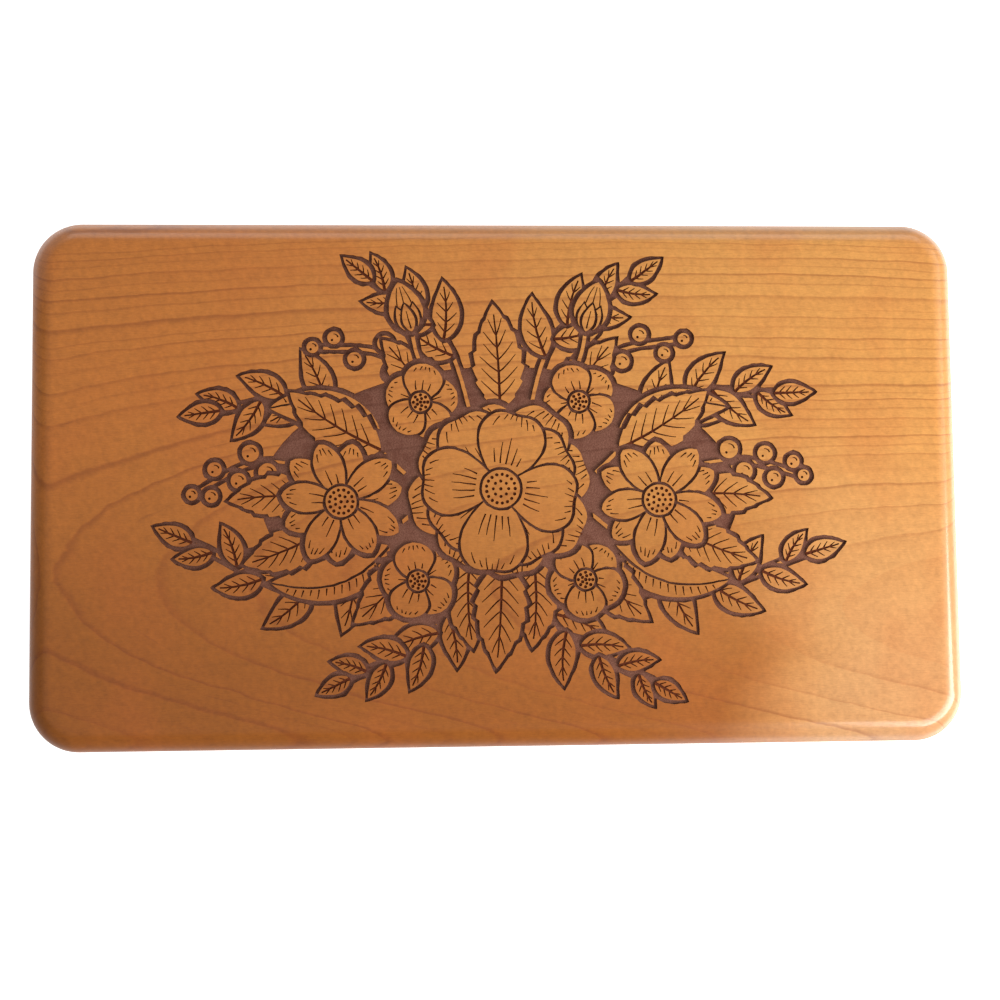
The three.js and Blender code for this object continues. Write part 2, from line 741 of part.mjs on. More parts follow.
// Outline of a petal or leaf along a bent line: half its width is sin(pi t^peak)^blunt
function blade({ x, y, turn, reach, width, bend, peak, blunt, notch = 0 }) {
  const edges = [[], []];
  for (let step = 0; step <= bladeSteps; step++) {
    const t = step / bladeSteps;
    const half = (width / 2) * Math.max(Math.sin(Math.PI * t ** peak), 0) ** blunt;
    const back = 2 * t > 1 ? notch * Math.exp(-((half / (notchShare * width)) ** 2)) : 0;
    const along = reach * t - back;
    const swing = (bend * along) / reach;
    const forward = (reach / bend) * Math.sin(swing);
    const aside = (reach / bend) * (1 - Math.cos(swing));
    for (const way of [0, 1]) {
      const across = (2 * way - 1) * half;
      const u = forward - across * Math.sin(swing);
      const v = aside + across * Math.cos(swing);
      const point = [x + u * Math.cos(turn) - v * Math.sin(turn), y + u * Math.sin(turn) + v * Math.cos(turn)];
      if (way === 0 || (step > 0 && step < bladeSteps)) edges[way].push(point);
    }
  }
  return new wasm.CrossSection([...edges[0], ...edges[1].reverse()], "NonZero");
}

// A motif mirrored to the left
function mirrored(motif) {
  return { ...motif, x: -motif.x, turn: Math.PI - motif.turn, bend: -motif.bend };
}

// The petals of a blossom, row by row, with those of each row that lie behind the others first
function petalsOf({ rows, petals, core, ...blossom }) {
  const made = [];
  for (let row = 0; row < rows; row++) {
    for (const odd of [0, 1]) {
      for (let i = odd; i < petals; i += 2) {
        const number = row * petals + i;
        made.push({
          ...blossom,
          turn: blossom.turn + (2 * Math.PI * (i + row / 2)) / petals,
          reach: blossom.reach * (1 + petalSway * Math.sin(blossom.turn + 2 * number)) * (1 - rowDrop * row),
          bend: petalBend * Math.cos(blossom.turn + number + number * number),
        });
      }
    }
  }
  return made;
}

// What is engraved: each shape is bare wood in a groove, over the shapes before it
function engraving() {
  const groundEdge = [];
  for (let step = 0; step < groundSteps; step++) {
    const angle = (2 * Math.PI * step) / groundSteps;
    const x = groundHalfWidth * Math.cos(angle);
    groundEdge.push([x, groundBack + groundHalfDepth * Math.sin(angle)]);
  }
  let cut = new wasm.CrossSection(groundEdge, "NonZero");
  function groove(shape, width) {
    cut = cut.add(shape.offset(width, "Miter")).subtract(shape);
  }
  const folded = foldedLeaves.map((leaf) => ({ ...leaf, peak: foldedPeak, blunt: foldedBlunt }));
  const serrated = leaves.map((leaf) => ({ ...leaf, peak: leafPeak, blunt: leafBlunt }));
  const middle = middleLeaves.map((leaf) => ({ ...leaf, peak: leafPeak, blunt: leafBlunt }));
  const sides = [...folded, ...serrated];
  for (const leaf of [...sides.map(mirrored), ...sides, ...middle]) {
    groove(blade(leaf), outlineWidth);
  }
  for (const blossom of blossoms) {
    const petals = petalsOf(blossom).map(blade);
    groove(wasm.CrossSection.union(petals), outlineWidth);
    if (blossom.petals <= partedPetals) {
      for (const petal of petals) groove(petal, innerLineWidth);
    }
    const core = wasm.CrossSection.circle(blossom.reach * blossom.core, boreSides);
    groove(core.translate([blossom.x, blossom.y]), innerLineWidth);
  }
  return cut.simplify(outlineSlack).extrude(engravedDepth + overrun).translate([0, 0, lidTop - engravedDepth]);
}

// Lid: one thick board, bevelled at the back, mortised for the hinges, recessed for the mirror and engraved
const recessX = sideFace - mirrorSideInset;
const recessY = backFace - mirrorEndInset;
const recessTop = lidLow + mirrorRecessHeight;
const lidPanel = slab(lidLow, lidTop, lidLowerEase, lidRoundOver)
  .subtract(backBevel())
  .subtract(hingeMortises(-1))
  .subtract(block([-recessX, -recessY, lidLow - overrun], [recessX, recessY, recessTop]))
  .subtract(engraving());
piece("lid_panel", lidPanel, cherry, lid);
const mirrorHigh = recessTop - fit;
const mirrorLow = mirrorHigh - mirrorThickness;
const glassX = recessX - fit;
const glassY = recessY - fit;
piece("mirror", block([-glassX, -glassY, mirrorLow], [glassX, glassY, mirrorHigh]), glass, lid);

// A bead along one side of the recess, with a rounded inner edge
function bead(long, short, turned) {
  const low = lidLow + fit;
  const high = mirrorLow - fit;
  const outer = short - fit;
  const across = new THREE.Shape();
  across.moveTo(outer, low);
  across.lineTo(outer, high);
  across.lineTo(outer - beadWidth, high);
  across.lineTo(outer - beadWidth, low + beadRound);
  across.absarc(outer - beadWidth + beadRound, low + beadRound, beadRound, Math.PI, (3 * Math.PI) / 2);
  across.closePath();
  const strip = alongX(across, -long, long).rotate([0, 0, turned]);
  return strip.intersect(mitreWedge(long - fit, short - fit, beadWidth, low, high, turned));
}
piece("mirror_bead_front", bead(recessX, recessY, halfTurn), cherry, lid);
piece("mirror_bead_back", bead(recessX, recessY, 0), cherry, lid);
piece("mirror_bead_right", bead(recessY, recessX, -quarterTurn), cherry, lid);
piece("mirror_bead_left", bead(recessY, recessX, quarterTurn), cherry, lid);

export default root;
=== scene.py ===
"""Wooden jewelry box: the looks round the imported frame.

The engraved lid, boards, hinges and velvet are new meshes or finishes in the places of the frame's.
Lengths are in millimetres and become metres where a mesh is made. Only the lamps are given in metres.
"""

import math

import bmesh
import bpy
import numpy as np
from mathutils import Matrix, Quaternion, Vector, geometry


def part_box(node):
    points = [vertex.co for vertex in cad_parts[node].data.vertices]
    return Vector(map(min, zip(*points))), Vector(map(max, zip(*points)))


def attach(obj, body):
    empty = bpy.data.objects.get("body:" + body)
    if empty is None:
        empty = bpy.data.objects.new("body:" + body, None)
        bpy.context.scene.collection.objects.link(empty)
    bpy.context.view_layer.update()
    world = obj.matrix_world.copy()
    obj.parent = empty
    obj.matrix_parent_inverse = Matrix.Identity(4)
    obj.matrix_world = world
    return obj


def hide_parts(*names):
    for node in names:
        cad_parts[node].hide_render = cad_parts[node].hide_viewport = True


MM = 0.001
FRAME_PIXELS = 1000

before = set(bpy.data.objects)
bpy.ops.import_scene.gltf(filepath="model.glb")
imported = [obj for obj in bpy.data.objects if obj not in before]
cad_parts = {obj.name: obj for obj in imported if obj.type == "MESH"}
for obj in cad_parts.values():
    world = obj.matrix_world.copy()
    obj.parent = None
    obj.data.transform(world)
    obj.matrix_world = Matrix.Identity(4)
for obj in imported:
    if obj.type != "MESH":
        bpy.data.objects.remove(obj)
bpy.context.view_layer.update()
scene = bpy.context.scene


def corners(node):
    """The lowest and highest corner of a node, in millimetres."""
    return np.array(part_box(node)) / MM


def placed(name, data):
    """A new object in the scene."""
    made = bpy.data.objects.new(name, data)
    scene.collection.objects.link(made)
    return made


LID_LOW, LID_HIGH = corners("lid_panel")
LID_TOP = LID_HIGH[2]
LID_HALF = LID_HIGH[:2]

# The camera, fitted to the edges of the lid: its place over the lid, and its tilts in degrees
BULLNOSE = 6.35
CAMERA_OVER_LID = (-29.43, -45.96, 480.43)
CAMERA_TILTS = (4.989, -3.463, -0.678)
FOCAL_PIXELS = 1900
SENSOR = 36
NEAR_CLIP = 10


def make_camera():
    camera = bpy.data.cameras.new("camera")
    camera.sensor_width = SENSOR
    camera.lens = SENSOR * FOCAL_PIXELS / FRAME_PIXELS
    camera.clip_start = NEAR_CLIP * MM
    holder = placed("camera", camera)
    holder.location = Vector(CAMERA_OVER_LID) * MM + Vector((0, 0, (LID_TOP - BULLNOSE) * MM))
    holder.rotation_euler = [math.radians(tilt) for tilt in CAMERA_TILTS]
    scene.camera = holder


make_camera()


class Value:
    """A number in a shader. Python's operators on it add Math nodes."""

    def __init__(self, nodes, socket):
        self.nodes = nodes
        self.socket = socket

    def math(self, operation, *others):
        return self.nodes.math(operation, self, *others)

    def __add__(self, other):
        return self.math("ADD", other)

    __radd__ = __add__

    def __sub__(self, other):
        return self.math("SUBTRACT", other)

    def __rsub__(self, other):
        return self.nodes.math("SUBTRACT", other, self)

    def __mul__(self, other):
        return self.math("MULTIPLY", other)

    __rmul__ = __mul__

    def ramp(self, low, high):
        """A smooth step from 0 at low to 1 at high."""
        settings = {"interpolation_type": "SMOOTHSTEP"}
        inputs = {"Value": self, "From Min": low, "From Max": high}
        return self.nodes.node("ShaderNodeMapRange", settings, inputs)

    def line(self, low, peak, high):
        """A smooth rise from 0 at low to 1 at the peak, and back to 0 at high."""
        return self.ramp(low, peak) * (1 - self.ramp(peak, high))


class Nodes:
    """A node tree in the making. Its numbers are Values, and its colours and vectors are sockets."""

    def __init__(self, tree):
        self.tree = tree

    def join(self, socket, value):
        if isinstance(value, Value):
            value = value.socket
        if isinstance(value, bpy.types.NodeSocket):
            self.tree.links.new(value, socket)
        else:
            socket.default_value = value

    def wrapped(self, socket):
        return Value(self, socket) if socket.type == "VALUE" else socket

    def node(self, kind, settings=None, inputs=None, output=0):
        """Adds one node: its settings first, then its inputs by name or number.

        Returns the output of that name or number, or a list for a tuple of outputs.
        """
        made = self.tree.nodes.new(kind)
        for name, value in (settings or {}).items():
            setattr(made, name, value)
        for name, value in (inputs or {}).items():
            self.join(made.inputs[name], value)
        if isinstance(output, tuple):
            return [self.wrapped(made.outputs[name]) for name in output]
        return self.wrapped(made.outputs[output])

    def math(self, operation, *values):
        return self.node("ShaderNodeMath", {"operation": operation}, dict(enumerate(values)))

    def in_picture(self):
        """1 where a surface shows in the picture, straight or by way of gloss or glass, or else 0."""
        rays = ("Is Camera Ray", "Is Glossy Ray", "Is Transmission Ray")
        straight, gloss, glass = self.node("ShaderNodeLightPath", output=rays)
        return straight.math("MAXIMUM", gloss).math("MAXIMUM", glass)


class Finish(Nodes):
    """A material in the making. What is the same all over its surface is set when it is made."""

    def __init__(self, name, **constants):
        self.material = bpy.data.materials.new(name)
        self.material.use_nodes = True
        super().__init__(self.material.node_tree)
        self.shader = self.tree.nodes["Principled BSDF"]
        self.surface(**constants)

    def surface(self, **inputs):
        """Sets or links inputs of the shader, named with _ for a space. Returns the material."""
        for name, value in inputs.items():
            self.join(self.shader.inputs[name.replace("_", " ")], value)
        return self.material

    def place(self):
        """Object coordinates, in millimetres."""
        return self.scaled(self.node("ShaderNodeTexCoord", output="Object"), 1 / MM)

    def scaled(self, vector, factor):
        return self.node("ShaderNodeVectorMath", {"operation": "SCALE"}, {0: vector, "Scale": factor})

    def parts(self, vector):
        return self.node("ShaderNodeSeparateXYZ", inputs={0: vector}, output=("X", "Y", "Z"))

    def noise(self, vector, scale, detail=2.0, roughness=0.5):
        """Perlin noise about 0.5."""
        inputs = {"Vector": vector, "Scale": scale, "Detail": detail, "Roughness": roughness}
        return self.node("ShaderNodeTexNoise", inputs=inputs)

    def noise_at(self, x, y, z, detail=2.0, roughness=0.5):
        """Perlin noise about 0.5, with a scale of its own in each direction."""
        vector = self.node("ShaderNodeCombineXYZ", inputs={0: x, 1: y, 2: z})
        return self.noise(vector, 1.0, detail, roughness)

    def strands(self, board, long, wide, detail=2.0, roughness=0.5):
        """Perlin noise drawn out along a board's grain, by its scales along and across it."""
        along, across, through = board
        return self.noise_at(along * long, across * wide, through * wide, detail, roughness)

    def mix(self, factor, first, second):
        """A mix of two colours, the node's inputs 6 and 7 and its output 2."""
        settings = {"data_type": "RGBA", "clamp_factor": True}
        return self.node("ShaderNodeMix", settings, {"Factor": factor, 6: first, 7: second}, output=2)

    def layers(self, colour, *others):
        """A colour with others over it in turn, each given with its factor."""
        for factor, other in others:
            colour = self.mix(factor, colour, other)
        return colour

    def bump(self, height, distance, strength):
        """A normal from a height whose unit is distance, in millimetres."""
        inputs = {"Height": height, "Distance": distance * MM, "Strength": strength}
        self.surface(Normal=self.node("ShaderNodeBump", inputs=inputs))


def rgb(red, green, blue):
    """A colour written as the eye reads it, 0 to 255, as the shader's linear numbers."""
    share = np.array([red, green, blue]) / 255
    linear = np.where(share <= 0.04045, share / 12.92, ((share + 0.055) / 1.055) ** 2.4)
    return (*linear.tolist(), 1.0)


def board_places(finish, grain, shift):
    """Places along the grain, across the board and through it, in millimetres, moved by its shift."""
    x, y, z = finish.parts(finish.place())
    along, across, through = (x, y, z) if grain == "x" else (y, x, z)
    return along + shift[0], across + shift[1], through + shift[2]


def growth(finish, board, pith, tilt, spacing):
    """Growth rings about a tilted pith line, wavering a little.

    Returns the distance from the pith, the share of a ring that it reaches into, and how dark the late
    wood is: a thin line at each ring's end, and a weaker one halfway if the pith is far to the side.
    """
    along, across, through = board
    wave = finish.strands(board, 0.005, 0.016) - 0.5
    ripple = finish.strands(board, 0.05, 0.08, 3.0, 0.6) - 0.5
    aside = across - pith[0] - along * tilt[0]
    deep = through - pith[1] - along * tilt[1]
    radius = (aside * aside + deep * deep).math("POWER", 0.5) + wave * 7.0 + ripple * 1.7
    uneven = finish.noise_at(radius * 0.11, 9.1, 0.0, 1.0) - 0.5
    rings = radius.math("DIVIDE", spacing) + uneven * 2.4
    part = rings.math("FRACT")
    late = part.line(0.84, 0.96, 1.0)
    halfway = part.line(0.36, 0.46, 0.52) * aside.math("ABSOLUTE").ramp(22.0, 44.0)
    strength = finish.noise_at(rings.math("FLOOR") * 7.31, along * 0.008, 0.0, 1.0)
    return radius, part, (late + halfway * 0.6) * (0.5 + 0.5 * strength.ramp(0.35, 0.6))


# The shares that mark the lid's burnt faces: walls, then each kind of outline. The deep outlines' full
# share also picks the lighter char painted into their narrow grooves against the shade in them.
BURNT_WALL = 0.5
BURNT_KINDS = (0.0, 1.0, 0.4, 0.8)


def cherry(name, grain="x", shift=(0, 0, 0), engraved=False):
    """Oiled cherry in satin lacquer: soft dark ring lines, fibres, ray flecks and slow changes of tone.

    The engraved lid is burnt where its faces say so, and polished along its right and back borders.
    Its slow changes of tone follow its place and are partly painted light: golden towards the right,
    partly painted light from that side; darker and redder at the front-left, partly painted shade;
    and pale at the front-right, a painted sheen.
    """
    finish = Finish(name, Coat_Weight=0.3, Coat_Roughness=0.16, IOR=1.47, Specular_IOR_Level=0.15)
    pith = (-27.0, 61.2)
    tilt = (-0.06, 0.17)
    board = board_places(finish, grain, shift)
    along, across, through = board
    radius, part, late = growth(finish, board, pith, tilt, 4.8)
    fibre = finish.strands(board, 0.035, 1.1, 3.0, 0.6)
    hair = finish.strands(board, 0.7, 3.4)
    fleck = finish.noise_at(along * 0.5, across * 2.6, radius * 0.5, 1.0).ramp(0.62, 0.75)
    leaning = along * 0.55 + across * 0.4
    mottle = finish.noise_at(leaning, across * 0.4 - along * 0.35, through * 0.5, 3.0, 0.65)
    figure = finish.strands(board, 0.05, 0.03)
    cloud = finish.strands(board, 0.008, 0.02)
    gum = finish.noise_at(along * 0.05, radius * 1.5, 3.0).ramp(0.7, 0.8)
    # On the lid the slow tone follows the place, blurred by noise: towards the right and towards the
    # front. On the other boards it follows noise alone.
    if engraved:
        aside, forward = along + (cloud - 0.5) * 60, (cloud - 0.5) * 40 - across
        off_pith = (across - pith[0] - along * tilt[0]).math("ABSOLUTE")
        late = late * (1 - along.ramp(0.0, 50.0) * (1 - off_pith.ramp(8.0, 28.0)))
    else:
        aside, forward = (cloud - 0.5) * 200, (cloud - 0.5) * 90 + 15
    right = aside.ramp(55.0, 95.0)
    front = forward.ramp(-30.0, 62.0)
    # On the lid these layers are partly painted light: golden towards the right, partly painted light
    # from that side; darker and redder at the front-left, partly painted shade; pale at the
    # front-right, a painted sheen. On the other boards they are random patches of tone.
    wood = finish.layers(
        rgb(181, 109, 46),
        (aside.ramp(-90.0, 75.0), rgb(195, 136, 70)),
        (front * (1 - right), rgb(143, 81, 27)),
        (front * right, rgb(185, 135, 86)),
        ((part - 0.2) * 0.14, rgb(150, 76, 30)),
        (figure.ramp(0.4, 0.75) * 0.3, rgb(160, 84, 36)),
        (late * 0.42, rgb(114, 54, 22)),
        (gum * 0.35, rgb(100, 50, 26)),
        (fleck * 0.12, rgb(150, 78, 36)),
    )
    tone = 1 + (fibre - 0.5) * 0.15 + (hair - 0.5) * 0.36 + (mottle - 0.5) * 0.5 + (figure - 0.5) * 0.16
    wood = finish.scaled(wood, tone)
    height = fibre * 0.6 + hair * 0.4 - late * 0.5
    if not engraved:
        finish.bump(height, 0.02, 0.5)
        return finish.surface(Base_Color=wood, Roughness=0.34 + fibre * 0.08 + late * 0.05)
    cut = finish.node("ShaderNodeAttribute", {"attribute_name": "cut"}, output="Fac")
    burnt = cut.ramp(0.05, 0.3)
    deep = cut.ramp(0.55, 0.7)
    # The narrow contour grooves get a slightly lighter char: painted light against the shade in them.
    painted_groove_light = cut.ramp(0.85, 0.95)
    place = finish.place()
    grit = finish.noise(place, 2.4, 3.0, 0.7)
    soot = finish.noise(place, 0.35)
    char = finish.layers(
        rgb(88, 40, 20),
        (deep, rgb(105, 66, 53)),
        # Painted light: a lighter char in the narrow contour grooves, against their shade.
        (painted_groove_light, rgb(108, 69, 55)),
        ((grit - 0.4) * deep * 1.3, rgb(150, 106, 88)),
        ((soot - 0.45).ramp(0.0, 0.3) * 0.4, rgb(80, 38, 24)),
        (late * 0.3, rgb(68, 32, 20)),
    )
    finish.bump(height * 0.02 * (1 - burnt) + grit * burnt * 0.22, 1.0, 0.7)
    under_top = LID_TOP - through
    rounded = under_top.ramp(0.02, 0.6) * (1 - under_top.ramp(6.0, 9.0))
    dull = (1 - along.ramp(25.0, 75.0)) * (1 - across.ramp(40.0, 62.0) * 0.8)
    polish = (1 - dull) * (1 - under_top.ramp(1.8, 4.4))
    return finish.surface(
        Base_Color=finish.mix(burnt, wood, char),
        Roughness=0.36 + fibre * 0.08 + burnt * 0.45,
        Coat_Weight=(1 - burnt) * (0.3 + rounded * (polish * 0.95 - 0.25)),
    )


def maple(name, grain, shift):
    """Bare sanded maple: pale, with faint rings, silky fibres and small brown flecks."""
    finish = Finish(name, IOR=1.45)
    board = board_places(finish, grain, shift)
    _, _, late = growth(finish, board, (12, -60), (0.02, 0.04), 3.2)
    fibre = finish.strands(board, 0.05, 1.6, 3.0, 0.6)
    fleck = finish.strands(board, 0.35, 2.2, 1.0).ramp(0.64, 0.72)
    wood = finish.mix(late * 0.5, rgb(206, 174, 126), rgb(170, 132, 84))
    wood = finish.mix(fleck * 0.35, wood, rgb(160, 118, 72))
    wood = finish.scaled(wood, 1 + (fibre - 0.5) * 0.16)
    finish.bump(fibre - late * 0.4, 0.04, 0.6)
    return finish.surface(Base_Color=wood, Roughness=0.5 + fibre * 0.12)


def plywood(name):
    """Birch plywood: the broad figure of a peeled sheet."""
    finish = Finish(name, IOR=1.45)
    board = finish.parts(finish.place())
    _, _, late = growth(finish, board, (-20, -14), (0.06, 0.09), 5.5)
    fibre = finish.strands(board, 0.06, 1.4, 3.0, 0.6)
    wood = finish.mix(late * 0.55, rgb(204, 164, 112), rgb(166, 120, 72))
    wood = finish.scaled(wood, 1 + (fibre - 0.5) * 0.2)
    finish.bump(fibre - late * 0.5, 0.05, 0.6)
    return finish.surface(Base_Color=wood, Roughness=0.55 + fibre * 0.12)


def velvet(name):
    """Short green pile: a sheen from the side, patches where the nap lies otherwise, and tufts."""
    finish = Finish(name, Roughness=0.95, Specular_IOR_Level=0.15)
    finish.surface(Sheen_Weight=0.55, Sheen_Roughness=0.35, Sheen_Tint=rgb(120, 190, 150))
    place = finish.place()
    nap = finish.noise(place, 0.045, 3.0, 0.6)
    brushed = finish.noise(place, 0.22)
    pile = finish.noise(place, 2.6, 2.0, 0.7)
    finish.bump(pile, 0.35, 0.7)
    colour = finish.layers(
        rgb(22, 62, 42),
        (nap.ramp(0.35, 0.65), rgb(34, 84, 58)),
        (brushed.ramp(0.45, 0.7) * 0.35, rgb(50, 104, 74)),
        (pile.ramp(0.35, 0.7) * 0.4, rgb(14, 42, 28)),
    )
    return finish.surface(Base_Color=colour)


def felt(name):
    """Pressed brown felt: matted fibres running every way."""
    finish = Finish(name, Roughness=1.0, Sheen_Weight=0.2)
    mat = finish.noise(finish.place(), 1.8, 4.0, 0.75)
    finish.bump(mat, 0.4, 0.8)
    return finish.surface(Base_Color=finish.mix(mat.ramp(0.3, 0.7), rgb(62, 42, 28), rgb(96, 70, 50)))


def brass(name):
    """Brushed brass: fine scratches along the hinge, and a duller tone in patches."""
    finish = Finish(name, Metallic=1.0)
    place = finish.place()
    scratch = finish.strands(finish.parts(place), 0.25, 9, 2.0, 0.6)
    tarnish = finish.noise(place, 0.16, 3.0, 0.6)
    finish.bump(scratch, 0.015, 0.7)
    return finish.surface(
        Base_Color=finish.mix(tarnish.ramp(0.4, 0.75) * 0.55, rgb(226, 186, 104), rgb(176, 128, 60)),
        Roughness=0.2 + scratch * 0.16 + tarnish * 0.08,
    )


def silvered(name):
    """Mirror glass: silver behind clear glass, with a breath of haze in patches."""
    finish = Finish(name, Metallic=1.0)
    haze = finish.noise(finish.place(), 0.03, 3.0, 0.6)
    return finish.surface(
        Base_Color=finish.mix(haze, rgb(238, 242, 240), rgb(226, 233, 231)),
        Roughness=0.008 + haze.ramp(0.5, 0.8) * 0.03,
    )


def mesh_of(name, points, faces):
    """A mesh in metres from an array of points in millimetres and a list of faces."""
    mesh = bpy.data.meshes.new(name)
    mesh.from_pydata((points * MM).tolist(), [], faces)
    return mesh


def show(name, mesh, finish, body, node):
    """Puts a mesh in the scene as a piece that rides on a body in a node's place."""
    piece = placed(name, mesh)
    mesh.materials.append(finish)
    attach(piece, body)
    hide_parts(node)
    return piece


# In degrees: edges sharper than CREASE stay sharp, and faces that meet flatter than SAME_PLANE join
CREASE = 30
SAME_PLANE = 0.2


def tidy_mesh(mesh, gap=0.001, crease=CREASE, dissolve=False, outward=False):
    """Joins points that meet, and triangles in one plane if asked, and smooths all but the creases."""
    work = bmesh.new()
    work.from_mesh(mesh)
    bmesh.ops.remove_doubles(work, verts=work.verts, dist=gap * MM)
    if dissolve:
        limit = math.radians(SAME_PLANE)
        bmesh.ops.dissolve_limit(work, angle_limit=limit, verts=work.verts, edges=work.edges)
    if outward:
        bmesh.ops.recalc_face_normals(work, faces=work.faces)
    for face in work.faces:
        face.smooth = True
    work.to_mesh(mesh)
    work.free()
    mesh.set_sharp_from_angle(angle=math.radians(crease))


# The engraving. Outlines are in millimetres on the lid, each drawn over the ones before it.
WOOD, DEEP, SHALLOW, GROUND = 0, 1, 2, 3
OUTLINE = 1.35
INNER_LINE = 0.72
FINE_LINE = 0.42
WAVES = 6
BLADE_POINTS = 27
TOOTH_POINTS = 6
TOOTH_FOOT = 0.88
TOOTH_RISE = 0.16
NOTCH_WIDTH = 0.22
BERRY_STALK = 2.9


def waver(points, seed, size, amount):
    """A gentle swelling: a sum of sine waves that run in seeded directions, about size long."""
    rng = np.random.default_rng(seed)
    ways = rng.normal(size=(WAVES, points.shape[1]))
    long = np.linalg.norm(ways, axis=1)[:, None]
    ways *= (2 * np.pi / size) / long * rng.uniform(0.6, 1.6, (WAVES, 1))
    phases = rng.uniform(0, 2 * np.pi, WAVES)
    return amount * np.sin(points @ ways.T + phases).sum(axis=1) / WAVES


class Blade:
    """A petal or leaf along an arc, as full at the share t of its length as sin(pi t^peak)^blunt."""

    def __init__(self, place, angle, length, width, bend, peak, blunt, teeth=0, notch=0.0):
        self.place = place
        self.angle = angle
        self.length = length
        self.width = width
        self.bend = bend
        self.peak = peak
        self.blunt = blunt
        self.teeth = teeth
        self.notch = notch

    def half(self, t, grow=0.0):
        """Half its width, grown, at the shares t of its length."""
        return (self.width / 2 + grow) * np.sin(np.pi * t**self.peak).clip(0) ** self.blunt

    def at(self, along, across):
        """Points by their millimetres along the arc and across from it."""
        turn = self.bend * along / self.length
        if self.bend == 0:
            x = along
            y = np.zeros_like(along)
        else:
            x = self.length / self.bend * np.sin(turn)
            y = self.length / self.bend * (1 - np.cos(turn))
        x = x - across * np.sin(turn)
        y = y + across * np.cos(turn)
        cosine = math.cos(self.angle)
        sine = math.sin(self.angle)
        return np.stack([cosine * x - sine * y, sine * x + cosine * y], axis=1) + self.place

    def line(self, t, share):
        """Points at the shares t of its length and at a share of its half width."""
        return self.at(self.length * t, share * self.half(t))

    def outline(self, grow):
        """Its outline, grown all round, with saw teeth, or with a notch at its tip."""
        t = np.linspace(0, 1, self.teeth * TOOTH_POINTS + 1 if self.teeth else BLADE_POINTS)
        half = self.half(t, grow)
        if self.teeth:
            half = half * (TOOTH_FOOT + TOOTH_RISE * ((t * self.teeth) % 1.0))
        along = -grow + (self.length + 2 * grow) * t
        along = along - self.notch * np.exp(-((half / (NOTCH_WIDTH * self.width)) ** 2)) * (t > 0.5)
        along = np.concatenate([along, along[-2:0:-1]])
        across = np.concatenate([-half, half[-2:0:-1]])
        return self.at(along, across)


def stroke(points, wide, wide_end):
    """Outline of a line whose width runs from wide to wide_end."""
    points = np.asarray(points, float)
    step = np.gradient(points, axis=0)
    step /= np.linalg.norm(step, axis=1)[:, None] + 1e-9
    normal = np.stack([-step[:, 1], step[:, 0]], axis=1)
    half = np.linspace(wide, wide_end, len(points))[:, None] / 2
    return np.concatenate([points + normal * half, (points - normal * half)[::-1]])


def ring(place, radius, count=20):
    """A circle of count points, or an ellipse if radius is a pair."""
    angle = np.linspace(0, 2 * np.pi, count, endpoint=False)
    return place + radius * np.stack([np.cos(angle), np.sin(angle)], axis=1)


def curve(points, count=40):
    """A smooth line through a few points, by Catmull and Rom's cubic."""
    p = np.asarray(points, float)
    p = np.concatenate([[2 * p[0] - p[1]], p, [2 * p[-1] - p[-2]]])
    spans = len(p) - 3
    runs = []
    for k in range(spans):
        t = np.linspace(0, 1, max(3, count // spans), endpoint=(k == spans - 1))[:, None]
        a, b, c, d = p[k], p[k + 1], p[k + 2], p[k + 3]
        square = 2 * a - 5 * b + 4 * c - d
        cube = 3 * b - a - 3 * c + d
        runs.append((2 * b + (c - a) * t + square * t**2 + cube * t**3) / 2)
    return np.concatenate(runs)


def heading(line, k):
    """The angle at which a line runs at its point k."""
    step = line[min(k + 1, len(line) - 1)] - line[max(k - 1, 0)]
    return math.atan2(step[1], step[0])


